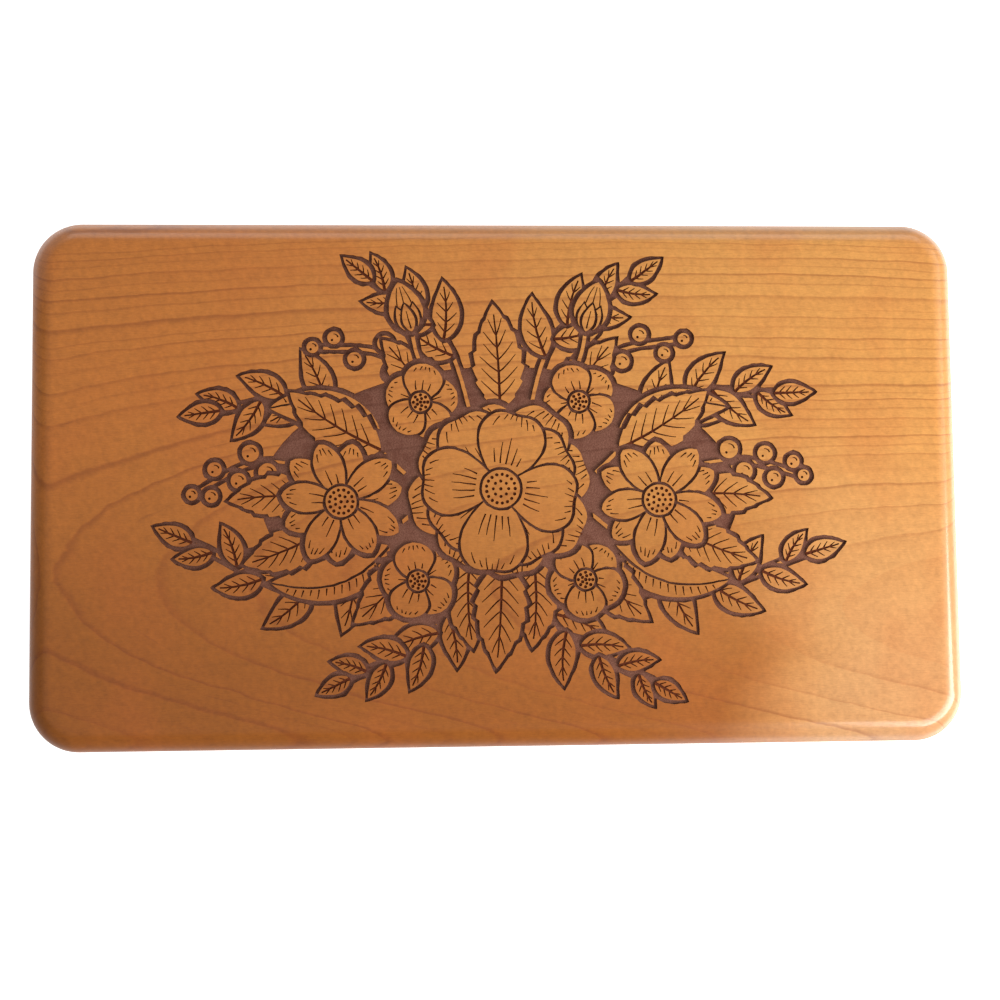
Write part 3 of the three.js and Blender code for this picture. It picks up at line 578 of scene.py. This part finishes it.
class Engraving:
    """A floral spray: outlines in drawing order, each with the kind of surface it leaves."""

    def __init__(self, seed):
        self.shapes = []
        self.rng = np.random.default_rng(seed)

    def add(self, outline, level):
        """Adds an outline, drawn with a slightly unsteady hand."""
        outline = np.asarray(outline)
        amount = 0.2 if level == DEEP else 0.08
        sway = [waver(outline, seed + 7 * level, 3.0, amount) for seed in (1, 2)]
        self.shapes.append((outline + np.stack(sway, axis=1), level))

    def fine(self, line, wide=FINE_LINE):
        self.add(stroke(line, wide, wide * 0.45), SHALLOW)

    def outlined(self, blade, border, inside=0.0):
        """A petal or leaf of bare wood inside a cut border."""
        self.add(blade.outline(border), DEEP)
        self.add(blade.outline(inside), WOOD)

    def petal_lines(self, petal, count):
        """Lines out from the flower's middle, and short dashes in from the petal's edge."""
        for i in range(count):
            share = (i - (count - 1) / 2) / (count / 2) * 0.62
            end = 0.6 * (1 - 0.35 * abs(share)) * self.rng.uniform(0.82, 1.1)
            self.fine(petal.line(np.linspace(0.3, end, 7), share))
        for i in range(count + 2):
            share = (i - (count + 1) / 2) / ((count + 2) / 2) * 0.8
            tip = 0.93 - 0.16 * share**2 - self.rng.uniform(0, 0.02)
            t = np.linspace(tip, tip - self.rng.uniform(0.07, 0.14), 4)
            self.fine(petal.line(t, share), FINE_LINE * 0.9)

    def flower(self, place, radius, count, width, angle, peak, blunt, core, lines, notch=0.0, rows=1):
        """Petals in one or two rows, each a little unlike the next, round a middle full of dots.

        The odd petals lie over the even ones, and the inner row over the outer.
        """
        petals = []
        for row in range(rows):
            for i in range(count):
                number = row * count + i
                turn = angle + 2 * math.pi * (i + 0.5 * row) / count
                reach = radius * (1 + 0.05 * math.sin(angle + 2 * number)) * (1 - 0.1 * row)
                bend = 0.16 * math.cos(angle + number + number**2)
                petal = Blade(place, turn, reach, width, bend, peak, blunt, notch=notch)
                petals.append((row, i % 2, petal))
        for _, _, petal in petals:
            self.add(petal.outline(OUTLINE), DEEP)
        for _, _, petal in sorted(petals, key=lambda item: item[:2]):
            self.outlined(petal, INNER_LINE, -0.02)
            self.petal_lines(petal, lines)
        middle = radius * core
        self.add(ring(place, middle + INNER_LINE, 30), DEEP)
        self.add(ring(place, middle, 30), WOOD)
        seeds = max(8, int(2 * math.pi * middle / 1.7))
        for dots, reach, size in ((seeds, 0.76, 0.44), (max(5, seeds // 2), 0.4, 0.42), (1, 0.0, 0.45)):
            for dot in ring(place, middle * reach, dots):
                self.add(ring(dot, size, 8), SHALLOW)

    def leaf(self, place, angle, length, width, bend=0.0, teeth=0, veins=4, edge=1.2):
        """A leaf with a midrib and side veins, whose edge may be toothed."""
        leaf = Blade(place, angle, length, width, bend, 0.78, 0.9, teeth)
        self.outlined(leaf, edge)
        self.fine(leaf.line(np.linspace(0.0, 0.9, 14), 0), INNER_LINE * 1.1)
        u = np.linspace(0, 1, 6)
        for side in (-1, 1):
            for i in range(veins):
                start = 0.12 + 0.7 * i / veins
                end = min(start + 0.16, 0.95)
                across = side * self.rng.uniform(0.62, 0.78) * leaf.half(end) * u**0.85
                self.fine(leaf.at(length * (start + (end - start) * u), across))

    def folded_leaf(self, place, angle, length, width, bend, side):
        """A long leaf whose near edge curls over, hatched in its shade."""
        leaf = Blade(place, angle, length, width, bend, 0.85, 0.8)
        self.outlined(leaf, OUTLINE)
        t = np.linspace(0, 1, 22)
        fold = leaf.line(t, side * (0.12 + 0.2 * np.sin(np.pi * t)))
        self.add(stroke(fold, INNER_LINE, FINE_LINE), DEEP)
        for share in np.linspace(0.16, 0.84, 13):
            u = np.linspace(0.4, self.rng.uniform(0.7, 0.86), 4)
            self.fine(leaf.at(length * (share + 0.05 * u), side * leaf.half(share) * u))

    def stem(self, points, wide):
        for width, level in ((wide + 1.6 * OUTLINE, DEEP), (wide, WOOD)):
            self.add(stroke(points, width, width), level)

    def berry(self, place, radius):
        """A berry with the glint of its skin and the dot of its old flower."""
        self.add(ring(place, radius + OUTLINE * 0.9), DEEP)
        self.add(ring(place, radius), WOOD)
        angle = np.linspace(0.2, 1.7, 7)
        self.fine(place + radius * 0.6 * np.stack([np.cos(angle), np.sin(angle)], axis=1))
        self.add(ring(place - radius * np.array([0.3, 0.35]), 0.34, 8), SHALLOW)

    def bud(self, place, angle, length, width):
        """A closed flower whose petals show as lines, in a cup of three sepals."""
        bud = Blade(place, angle, length, width, 0, 0.8, 0.75)
        self.outlined(bud, OUTLINE)
        for share in (-0.456, 0, 0.456):
            self.fine(bud.line(np.linspace(0.35, 0.9, 10), share))
        for spread in (-0.5, 0.5, 0):
            sepal = Blade(place, angle + spread, length * 0.55, width * 0.36, spread * -0.8, 0.8, 0.9)
            self.outlined(sepal, INNER_LINE)
            self.fine(sepal.line(np.linspace(0.1, 0.75, 6), 0))

    def sprig(self, points, leaves, size, start):
        """A stem with leaves on either side by turns, smaller towards the tip."""
        line = curve(points, 60)
        self.stem(line, 0.9)
        for i in range(leaves):
            k = int((start + (0.93 - start) * i / (leaves - 1)) * (len(line) - 1))
            side = 1 if i % 2 == 0 else -1
            long = size * (1.0 - 0.45 * i / leaves) * self.rng.uniform(0.92, 1.08)
            turn = heading(line, k) + side * self.rng.uniform(0.75, 0.95)
            self.leaf(line[k], turn, long, long * 0.46, -side * 0.4)
        self.leaf(line[-1], heading(line, len(line) - 1), size * 0.62, size * 0.3)

    def berries(self, points, count, radius):
        """A stem with berries on either side by turns and one at its tip."""
        line = curve(points)
        self.stem(line, 0.7)
        for i in range(count):
            k = int((0.45 + 0.55 * i / (count - 1)) * (len(line) - 1))
            out = 0 if i == count - 1 else BERRY_STALK
            turn = heading(line, k) + (1.2 if i % 2 == 0 else -1.2)
            place = line[k] + out * np.array([math.cos(turn), math.sin(turn)])
            self.berry(place, radius * (1 - 0.07 * i))


def mirrored(way, points):
    """Points drawn for the right half, way 1, or their mirror images for the left, way -1."""
    return [(way * x, y) for x, y in points]


def faced(way, turn):
    """An angle drawn for the right half, or its mirror image."""
    return turn if way > 0 else math.pi - turn


def floral_spray():
    """Flowers, leaves, buds and berries round a wide blossom, nearly alike at the left and right."""
    drawing = Engraving(3)
    drawing.add(ring((0, -4), np.array([60, 33]), 72), GROUND)
    for way in (-1, 1):
        for points, leaves, size, start in (
            ([(24, 2), (46, 21), (70, 20 + 2 * way)], 6, 16, 0.34),
            ([(22, -8), (48, -27), (77, -17 - 2 * way)], 7, 16, 0.3),
            ([(6, 12), (14, 36), (33 + way, 51)], 6, 15, 0.42),
            ([(8, -12), (16, -38), (38, -50 - way)], 6, 14, 0.42),
        ):
            drawing.sprig(mirrored(way, points), leaves, size, start)
        for points, count, radius in (
            ([(40, 2), (60, 5), (77, -1 + 2 * way)], 6, 2.3),
            ([(10, 10), (27, 31), (47, 35 + way)], 5, 2.1),
        ):
            drawing.berries(mirrored(way, points), count, radius)
        for x, y, turn, length, side in ((30, 10, 0.75, 30, way), (28, -16, -0.75, 32, -way)):
            drawing.folded_leaf((way * x, y), faced(way, turn), length, 11, -0.9 * side, side)
        for x, y, turn, length, width, bend in (
            (16, 16, 1.15, 24, 12, -0.35),
            (30, 8, 0.42, 27, 13, 0.3),
            (46, -4, 0.12, 22, 11, -0.3),
            (44, -12, -0.55, 22, 11, 0.3),
            (20, -17, -1.0, 25, 12.5, 0.35),
            (8, -20, -1.45, 22, 11, -0.3),
        ):
            drawing.leaf((way * x, y), faced(way, turn), length, width, bend * way, 7, 6, OUTLINE)
        stem = curve(mirrored(way, [(12, 14), (20, 30), (22, 38)]), 30)
        drawing.stem(stem, 0.9)
        drawing.bud(stem[-1], faced(way, 1.3), 13, 8.5)
    drawing.leaf((0, 18), math.pi / 2, 27, 13, 0.12, 7, 6, OUTLINE)
    drawing.leaf((0, -20), -math.pi / 2, 27, 13, -0.12, 7, 6, OUTLINE)
    for x, turn in ((-40, 0.15), (40, 0.4)):
        drawing.flower((x, -5), 15.5, 11, 7.2, turn, 1.35, 0.62, 0.25, 2)
    for place, turn in (((-21, -25), 0.5), ((21, -25), 0.9), ((-20, 20), 0.2), ((20, 20), 0.7)):
        drawing.flower(place, 9.5, 5, 9.6, turn, 1.3, 0.55, 0.25, 3)
    drawing.flower((0, -2), 24, 8, 16.5, 0.2, 1.45, 0.58, 0.2, 5, notch=2.2, rows=2)
    return drawing.shapes


# Sheets: how near points are one, the least area, and the grades of height in a millimetre
TOUCHING = 1e-5
NO_AREA = 1e-9
GRADES = 10000


def rectangle(left, near, right, far):
    return np.array([(left, near), (right, near), (right, far), (left, far)])


def triangulated(places, edges):
    """Triangles, counter-clockwise, between points in a plane that keep to the given edges."""
    vectors = [Vector(place) for place in places.tolist()]
    found = geometry.delaunay_2d_cdt(vectors, edges, [], 0, TOUCHING, False)
    flat = np.array([tuple(place) for place in found[0]])
    faces = np.array(found[2])
    a, b, c = (flat[faces[:, k]] for k in range(3))
    ab, ac = b - a, c - a
    turn = ab[:, 0] * ac[:, 1] - ab[:, 1] * ac[:, 0]
    faces[turn < 0] = faces[turn < 0][:, ::-1]
    return flat, faces[np.abs(turn) > NO_AREA]


def painted(flat, faces, outlines, kinds):
    """The kind of each triangle: that of the last outline round its middle, or -1 off the sheet."""
    middles = flat[faces].mean(axis=1)
    order = np.argsort(middles[:, 0])
    sorted_x = middles[order, 0]
    made = np.full(len(faces), -1)
    sheet = None
    for outline, kind in zip(outlines, kinds):
        low, high = outline.min(axis=0), outline.max(axis=0)
        near = order[np.searchsorted(sorted_x, low[0]) : np.searchsorted(sorted_x, high[0])]
        near = near[(middles[near, 1] > low[1]) & (middles[near, 1] < high[1])]
        x, y = middles[near, :1], middles[near, 1:]
        (ax, ay), (bx, by) = outline.T, np.roll(outline, -1, axis=0).T
        side = (bx - ax) * (y - ay) - (x - ax) * (by - ay)
        rising = (ay <= y) & (by > y) & (side > 0)
        falling = (ay > y) & (by <= y) & (side < 0)
        within = near[rising.sum(axis=1) != falling.sum(axis=1)]
        if sheet is None:
            sheet = within
        made[within] = kind
    return np.where(np.isin(np.arange(len(faces)), sheet), made, -1)


def shared_edges(faces, count):
    """The start and end of every triangle's edges, and the pairs of edges that two triangles share."""
    start = faces.ravel().astype(np.int64)
    end = np.roll(faces, -1, axis=1).ravel()
    edge = np.minimum(start, end) * count + np.maximum(start, end)
    order = np.argsort(edge, kind="stable")
    met = edge[order][1:] == edge[order][:-1]
    return start, end, order[:-1][met], order[1:][met]


def cut_sheet(outlines, kinds, height, shelves=(np.inf, -np.inf)):
    """Triangles of a sheet cut by outlines, each over the ones before, the first of them its border.

    height gives the height of points by their kinds and places. Upright walls, parted at the shelves,
    join pieces at unlike heights. Returns points, triangles and the triangles' kinds, -1 on a wall.
    """
    around = 2 * rectangle(-1, -1, 1, 1) * np.abs(outlines[0]).max(axis=0)
    places = np.concatenate([*outlines, around])
    ends = np.cumsum([len(outline) for outline in outlines])
    edges = []
    for outline, end in zip(outlines, ends):
        here = np.arange(end - len(outline), end)
        edges.append(np.stack([here, np.roll(here, -1)], axis=1))
    flat, faces = triangulated(places, np.concatenate(edges).tolist())
    kind = painted(flat, faces, outlines, kinds)
    start, end, one, other = shared_edges(faces, len(flat))
    wanted = kind[one // 3] != kind[other // 3]
    used, edges = np.unique(np.stack([start[one], end[one]], axis=1)[wanted], return_inverse=True)
    flat, faces = triangulated(flat[used], edges.reshape(-1, 2).tolist())
    kind = painted(flat, faces, outlines, kinds)
    faces = faces[kind >= 0]
    kind = kind[kind >= 0]
    levels = np.stack([height(kind, flat[faces[:, k]]) for k in range(3)], axis=1)
    start, end, one, other = shared_edges(faces, len(flat))
    start_level = levels.ravel()
    end_level = np.roll(levels, -1, axis=1).ravel()
    higher = start_level[one] + end_level[one] >= start_level[other] + end_level[other]
    high = np.where(higher, one, other)
    low = np.where(higher, other, one)
    tops = np.stack([start_level[high], end_level[high]], axis=1)
    feet = np.stack([end_level[low], start_level[low]], axis=1)
    ids = np.stack([start[high], end[high]], axis=1)
    corner_ids = [faces]
    corner_levels = [levels]
    kinds_made = [kind]
    for lower, upper in zip(shelves[1:], shelves[:-1]):
        foot = feet.clip(lower, upper)
        top = tops.clip(lower, upper)
        wall = (top - foot).max(axis=1) > 1 / GRADES
        quad_ids = np.concatenate([ids[wall], ids[wall][:, ::-1]], axis=1)
        quad_levels = np.concatenate([foot[wall], top[wall][:, ::-1]], axis=1)
        for pick in ([0, 1, 2], [0, 2, 3]):
            corner_ids.append(quad_ids[:, pick])
            corner_levels.append(quad_levels[:, pick])
            kinds_made.append(np.full(len(quad_ids), -1))
    ids = np.concatenate(corner_ids).ravel()
    steps = np.round(np.concatenate(corner_levels) * GRADES).ravel()
    kind = np.concatenate(kinds_made)
    keys, back = np.unique(np.stack([ids, steps], axis=1), axis=0, return_inverse=True)
    triangles = back.reshape(-1, 3)
    whole = (triangles != np.roll(triangles, 1, axis=1)).all(axis=1)
    points = np.column_stack([flat[keys[:, 0].astype(int)], keys[:, 1] / GRADES])
    return points, triangles[whole], kind[whole]


# The lid: its plan and edges are those of its node. The barrel's relief meets the bevel at BARREL_BACK.
CORNER = 12.5
LOWER_EASE = 0.8
HINGE_Y = 63.9
HINGE_Z = 80.2
BEVEL_START = 63.6
BEVEL_ANGLE = 48.25
BEVEL_SLOPE = math.tan(math.radians(BEVEL_ANGLE))
HINGE_MIDDLE = 66.0
POCKET_HALF = 19.1
POCKET_FRONT = 55.8
POCKET_DEEP = 81.8
BARREL_RELIEF = 2.5
BARREL_BACK = 65.39
BARREL_STRIPS = 14
RECESS = (93.0, 44.0, 86.4)
FLAT_INSET = BULLNOSE + 0.5
BEYOND = 4

# Levels of bare wood and of shallow and deep cuts, then that of each kind of outline
CUT_LEVELS = (0.0, -0.3, -0.7)
KIND_LEVELS = np.array(CUT_LEVELS)[[0, 2, 1, 2]]


def bevel_level(y):
    """Height of the back bevel's plane, on which the lid stops when open."""
    return HINGE_Z + (y - BEVEL_START) * BEVEL_SLOPE


BEVEL_FOOT = BEVEL_START + (LID_LOW[2] - HINGE_Z) / BEVEL_SLOPE


def lid_outline(inset, back_angle):
    """The lid's plan set in all round: quarter circles at the corners, joined by straight sides.

    The back corners have one more point each, where the bevel's foot crosses them.
    """
    quarter = np.linspace(0, math.pi / 2, 25)
    radius = CORNER - inset
    places = []
    for corner, (right, back) in enumerate(((1, 1), (-1, 1), (-1, -1), (1, -1))):
        angle = quarter + corner * math.pi / 2
        if back > 0:
            angle = np.sort(np.append(angle, faced(right, back_angle)))
        x = right * (LID_HALF[0] - CORNER) + radius * np.cos(angle)
        y = back * (LID_HALF[1] - CORNER) + radius * np.sin(angle)
        places.append(np.stack([x, y], axis=1))
    return np.concatenate(places)


def ring_quads(rings, count):
    """Quads between rings of count points each."""
    level = np.arange(rings - 1)[:, None] * count
    here = np.arange(count)[None, :]
    after = (here + 1) % count
    quads = [level + here, level + after, level + after + count, level + here + count]
    return np.stack(quads, axis=2).reshape(-1, 4)


def under_height(kind, places):
    """Underside of the lid, upside down: its flat, back bevel, mirror recess and hinge pockets."""
    y = places[:, 1]
    bevel = bevel_level(y)
    barrel = HINGE_Z + np.sqrt((BARREL_RELIEF**2 - (y - HINGE_Y) ** 2).clip(0))
    pocket = np.maximum(np.maximum(POCKET_DEEP, barrel), bevel)
    choices = [np.full_like(y, LID_LOW[2]), bevel, np.full_like(y, RECESS[2]), pocket]
    return -np.choose(np.minimum(kind, 3), choices)


def lid_side():
    """The lid's side as rings of points, from its eased lower edge up round the bullnose."""
    crossing = (BEVEL_FOOT - (LID_HALF[1] - CORNER)) / (CORNER - LOWER_EASE)
    levels = []
    for turn in np.linspace(0, math.pi / 2, 5):
        sine, cosine = math.sin(turn), math.cos(turn)
        levels.append((LOWER_EASE * (1 - sine), LID_LOW[2] + LOWER_EASE * (1 - cosine)))
    for turn in np.linspace(0, math.pi / 2, 17):
        sine, cosine = math.sin(turn), math.cos(turn)
        levels.append((BULLNOSE * (1 - cosine), LID_TOP - BULLNOSE * (1 - sine)))
    levels.append((FLAT_INSET, LID_TOP))
    rings = []
    for inset, level in levels:
        plan = lid_outline(inset, math.asin(crossing))
        rings.append(np.column_stack([plan, np.maximum(level, bevel_level(plan[:, 1]))]))
    return rings


def lid_top(border):
    """The engraved top: points, triangles and how burnt each triangle is."""
    drawing = floral_spray()
    cuts = [WOOD] + [level for _, level in drawing]
    lines = [border] + [line for line, _ in drawing]
    shelves = [LID_TOP + level for level in CUT_LEVELS]
    points, faces, kind = cut_sheet(lines, cuts, lambda kind, _: LID_TOP + KIND_LEVELS[kind], shelves)
    return points, faces, np.where(kind < 0, BURNT_WALL, np.array(BURNT_KINDS)[kind])


def lid_underside(border):
    """The underside, seen from above: points and triangles."""
    across, back = LID_HALF + BEYOND
    under = [border, rectangle(-across, BEVEL_FOOT, across, back)]
    under.append(rectangle(-RECESS[0], -RECESS[1], RECESS[0], RECESS[1]))
    barrel_front = HINGE_Y - math.sqrt(BARREL_RELIEF**2 - (POCKET_DEEP - HINGE_Z) ** 2)
    strips = np.concatenate([[POCKET_FRONT], np.linspace(barrel_front, BARREL_BACK, BARREL_STRIPS)])
    for middle in (-HINGE_MIDDLE, HINGE_MIDDLE):
        for near, far in zip(strips[:-1], strips[1:]):
            under.append(rectangle(middle - POCKET_HALF, near, middle + POCKET_HALF, far))
    points, faces, _ = cut_sheet(under, range(len(under)), under_height)
    points[:, 2] *= -1
    return points, faces


def engraved_lid():
    """The lid's board in one mesh, with a face attribute that says where it is burnt."""
    rings = lid_side()
    side_points = np.concatenate(rings)
    side_faces = ring_quads(len(rings), len(rings[0]))
    top, top_faces, burn = lid_top(rings[-1][:, :2])
    base, base_faces = lid_underside(rings[0][:, :2])
    points = np.concatenate([side_points, top, base])
    faces = side_faces.tolist()
    faces += (top_faces + len(side_points)).tolist()
    faces += (base_faces[:, ::-1] + len(side_points) + len(top)).tolist()
    mesh = mesh_of("lid_board", points, faces)
    attribute = mesh.attributes.new("cut", "FLOAT", "FACE")
    shares = np.concatenate([np.zeros(len(side_faces)), burn, np.zeros(len(base_faces))])
    attribute.data.foreach_set("value", shares.astype(np.float32))
    tidy_mesh(mesh)
    finish = cherry("cherry_lid", engraved=True)
    piece = show("lid_board", mesh, finish, "lid", "lid_panel")
    piece.modifiers.new("even_normals", "WEIGHTED_NORMAL").keep_sharp = True


engraved_lid()

SOFTENED_ANGLE = 40


def dressed(node, body, finish, soften=0.3):
    """A rigid node with its triangles joined into faces, its edges softened and its curves smooth."""
    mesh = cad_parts[node].data.copy()
    mesh.materials.clear()
    tidy_mesh(mesh, dissolve=True)
    piece = show(node + "_dressed", mesh, finish, body, node)
    if soften:
        bevel = piece.modifiers.new("soft_edges", "BEVEL")
        bevel.width = soften * MM
        bevel.segments = 2
        bevel.limit_method = "ANGLE"
        bevel.angle_limit = math.radians(SOFTENED_ANGLE)
        bevel.miter_outer = "MITER_ARC"
    piece.modifiers.new("even_normals", "WEIGHTED_NORMAL").keep_sharp = True


# Walls, drawer front and mirror beads: each board has its own stretch of the same tree
CHERRY_BOARDS = (
    ("front_wall", "box", "x", (60, 20, -30), 0),
    ("back_wall", "box", "x", (-210, -130, 12), 0),
    ("left_wall", "box", "y", (140, 70, 4), 0),
    ("right_wall", "box", "y", (-80, -60, -22), 0),
    ("drawer_front", "drawer", "x", (60, 20, -30), 0.25),
    ("mirror_bead_front", "lid", "x", (30, 90, 5), 0),
    ("mirror_bead_back", "lid", "x", (-60, -70, 9), 0),
    ("mirror_bead_left", "lid", "y", (90, 40, -8), 0),
    ("mirror_bead_right", "lid", "y", (-40, 110, 3), 0),
)
for node, body, grain, shift, soften in CHERRY_BOARDS:
    dressed(node, body, cherry("cherry_" + node, grain, shift), soften)

# Drawer boards, runners, kickers and stops
MAPLE_BOARDS = (
    ("drawer_side_left", "drawer", "y", (0, 12, 7)),
    ("drawer_side_right", "drawer", "y", (70, -9, 14)),
    ("drawer_runner_left", "box", "y", (20, 4, 2)),
    ("drawer_runner_right", "box", "y", (-50, 9, 6)),
    ("drawer_kicker_left", "box", "y", (10, 30, 9)),
    ("drawer_kicker_right", "box", "y", (-30, 5, 1)),
    ("drawer_back", "drawer", "x", (15, 6, 3)),
    ("drawer_stop_left", "box", "x", (40, 2, 8)),
    ("drawer_stop_right", "box", "x", (-20, 7, 5)),
)
for node, body, grain, shift in MAPLE_BOARDS:
    dressed(node, body, maple("maple_" + node, grain, shift))

# Base, deck and drawer bottom, and the feet
birch = plywood("birch_plywood")
for node, body in (("base_panel", "box"), ("deck_panel", "box"), ("drawer_bottom", "drawer")):
    dressed(node, body, birch, 0.15)
felted = felt("pressed_felt")
for end in ("front", "back"):
    for side in ("left", "right"):
        dressed(f"foot_{end}_{side}", "box", felted, 0.35)

# Hinges and screws
brushed = brass("brushed_brass")
for side in ("left", "right"):
    for part, body in (("body_leaf", "box"), ("lid_leaf", "lid"), ("pin", "box")):
        dressed(f"hinge_{side}_{part}", body, brushed, 0.12)
    for number in (1, 2):
        dressed(f"screw_body_{side}_{number}", "box", brushed, 0.06)
        dressed(f"screw_lid_{side}_{number}", "lid", brushed, 0.06)

dressed("mirror", "lid", silvered("silvered_glass"), 0.2)

# Velvet
green = velvet("green_velvet")
VELVET_PITCH = 1.5
VELVET_SWELL = 0.05


def grid_box(low, high):
    """Points all over a box's six sides at about one pitch, with quads that face outwards."""
    points = []
    faces = []
    start = 0
    for axis in range(3):
        first, second = (axis + 1) % 3, (axis + 2) % 3
        counts = [max(2, int(round((high[k] - low[k]) / VELVET_PITCH)) + 1) for k in (first, second)]
        u = np.linspace(low[first], high[first], counts[0])
        v = np.linspace(low[second], high[second], counts[1])
        for end in (low, high):
            side = np.zeros((*counts, 3))
            side[:, :, first] = u[:, None]
            side[:, :, second] = v
            side[:, :, axis] = end[axis]
            here = start + np.arange(counts[0] - 1)[:, None] * counts[1] + np.arange(counts[1] - 1)
            after = here + counts[1]
            quads = np.stack([here, after, after + 1, here + 1], axis=2).reshape(-1, 4)
            faces.append(quads if end is high else quads[:, ::-1])
            points.append(side.reshape(-1, 3))
            start += len(points[-1])
    return np.concatenate(points), np.concatenate(faces)


def show_velvet(node, body, points, faces):
    """Puts a velvet surface in a soft node's place."""
    mesh = mesh_of(node + "_velvet", points, faces.tolist())
    tidy_mesh(mesh, gap=0.01, crease=180, outward=True)
    piece = show(node + "_velvet", mesh, green, body, node)


def velvet_board(node, body, edge, seed):
    """Velvet over a board: a box whose edges are rounded by q + r (p - q) / |p - q|, where q is p held
    inside the box less r, and whose faces swell a little in between."""
    low, high = corners(node)
    points, faces = grid_box(low, high)
    reach = np.minimum(edge, (high - low) / 2)
    core = np.clip(points, low + reach, high - reach)
    away = (points - core) / reach
    away /= np.linalg.norm(away, axis=1)[:, None] + 1e-9
    rounded = core + away * reach
    inward = waver(rounded, seed, 14, VELVET_SWELL) - VELVET_SWELL
    show_velvet(node, body, rounded + away * inward[:, None], faces)


for seed, (node, body, edge) in enumerate((
    ("lining_floor", "box", 0.5),
    ("lining_front", "box", 0.6),
    ("lining_back", "box", 0.6),
    ("lining_left", "box", 0.6),
    ("lining_right", "box", 0.6),
    ("divider_rings", "box", 1.6),
    ("divider_long", "box", 1.6),
    ("divider_short", "box", 1.6),
    ("drawer_lining", "drawer", 0.5),
    ("drawer_divider_1", "drawer", 1.3),
    ("drawer_divider_2", "drawer", 1.3),
)):
    velvet_board(node, body, edge, seed)


# Rolls: their rows and columns of points, what keeps the cloth inside the node's box, and its folds
ROLL_POINTS = 72
ROLL_SHARE = 0.985
ROLL_END = 0.15
ROLL_LIFT = 0.1
ROLL_WAVER = 0.22
ROLL_HOLLOW = 0.12
FOLDS = ((0.035, 17), (0.02, 29))
FOLD_HOLLOW = 0.04


def ring_roll(node, seed):
    """A foam roll in velvet. Its section is a half circle over straight sides with a flat foot:
    the foot's half is |y/a|^5 + |z/b|^5 = 1. Along the roll the section shrinks by (1 - |t|^16)^(1/16)
    towards ends where the cloth is gathered in folds."""
    low, high = corners(node)
    t = np.sin(np.linspace(-1, 1, ROLL_POINTS) * math.pi / 2)[:, None]
    turn = np.linspace(0, 2 * math.pi, ROLL_POINTS, endpoint=False)
    half_length, half_width, height = (high - low) / [2, 2, 1]
    straight = height - half_width
    middle = np.array([low[0] + half_length, (low[1] + high[1]) / 2, low[2] + straight])
    cosine = np.cos(turn)
    sine = np.sin(turn)
    power = np.where(sine < 0, 0.4, 1.0)
    section_y = half_width * np.sign(cosine) * np.abs(cosine) ** power
    section_z = np.where(sine < 0, -straight, half_width) * np.abs(sine) ** power
    shrink = (1 - np.abs(t).clip(0, 1) ** 16) ** (1 / 16)
    rng = np.random.default_rng(seed)
    folds = sum(depth * np.sin(turn * count + rng.uniform(0, 6)) for depth, count in FOLDS)
    scale = shrink * (ROLL_SHARE + (folds - FOLD_HOLLOW) * np.abs(t) ** 30)
    length = np.broadcast_to((half_length - ROLL_END) * t, scale.shape)
    away = np.stack([length, scale * section_y, scale * section_z + ROLL_LIFT], axis=2).reshape(-1, 3)
    points = middle + away
    swelling = waver(points, seed, 26, ROLL_WAVER) - ROLL_HOLLOW
    points = points + away * [0, 1, 1] / half_width * swelling[:, None]
    show_velvet(node, "box", points, ring_quads(ROLL_POINTS, ROLL_POINTS))


for number in range(1, 7):
    ring_roll(f"ring_roll_{number}", 40 + number)

# Light: a soft lamp at the right, a fill behind, a strip that draws the streak on the lid's border,
# and a white room that is dimmer as a light than in the picture
LAMP_COLOUR = (1.0, 0.985, 0.965)
ROOM = 0.42


def soft_lamp(name, place, at, width, height, watts, lean=0):
    """A rectangle of light at a place that faces a point, turned about its beam."""
    lamp = bpy.data.lights.new(name, "AREA")
    lamp.shape = "RECTANGLE"
    lamp.size = width
    lamp.size_y = height
    lamp.energy = watts
    lamp.color = LAMP_COLOUR
    holder = placed(name, lamp)
    holder.location = Vector(place)
    facing = (Vector(at) - Vector(place)).to_track_quat("-Z", "Y")
    holder.rotation_euler = (facing @ Quaternion((0, 0, 1), math.radians(lean))).to_euler()


soft_lamp("softbox", (0.42, 0.04, 0.35), (0.0, 0.0, 0.09), 0.5, 0.28, 0.6)
soft_lamp("back_fill", (0.05, 0.55, 0.42), (0.0, 0.0, 0.09), 0.8, 0.3, 1.3)
soft_lamp("strip", (0.34, -0.175, 0.313), (0.112, -0.06, 0.094), 0.425, 0.19, 2.7, -32)


def make_room():
    world = bpy.data.worlds.new("room")
    world.use_nodes = True
    scene.world = world
    room = Nodes(world.node_tree)
    strength = room.node("ShaderNodeMapRange", inputs={"Value": room.in_picture(), "To Min": ROOM})
    background = room.tree.nodes["Background"]
    room.join(background.inputs["Strength"], strength)
    room.join(background.inputs["Color"], (1, 1, 1, 1))


make_room()

FLOOR_HALF = 4000
FLOOR_GLOW = 0.75


def make_floor():
    """A white floor: the object's shadow falls on it, over a glow that keeps it pale."""
    finish = Finish("floor", Roughness=0.9, Emission_Strength=FLOOR_GLOW)
    patches = finish.noise(finish.place(), 0.02)
    finish.surface(
        Base_Color=finish.mix(patches, rgb(238, 238, 238), rgb(243, 243, 243)),
        Emission_Color=finish.mix(finish.in_picture(), (0, 0, 0, 1), (1, 1, 1, 1)),
    )
    plan = rectangle(-FLOOR_HALF, -FLOOR_HALF, FLOOR_HALF, FLOOR_HALF)
    mesh = mesh_of("floor", np.column_stack([plan, np.zeros(4)]), [(0, 1, 2, 3)])
    mesh.materials.append(finish.material)
    placed("floor", mesh)


make_floor()
scene.view_settings.view_transform = "Standard"
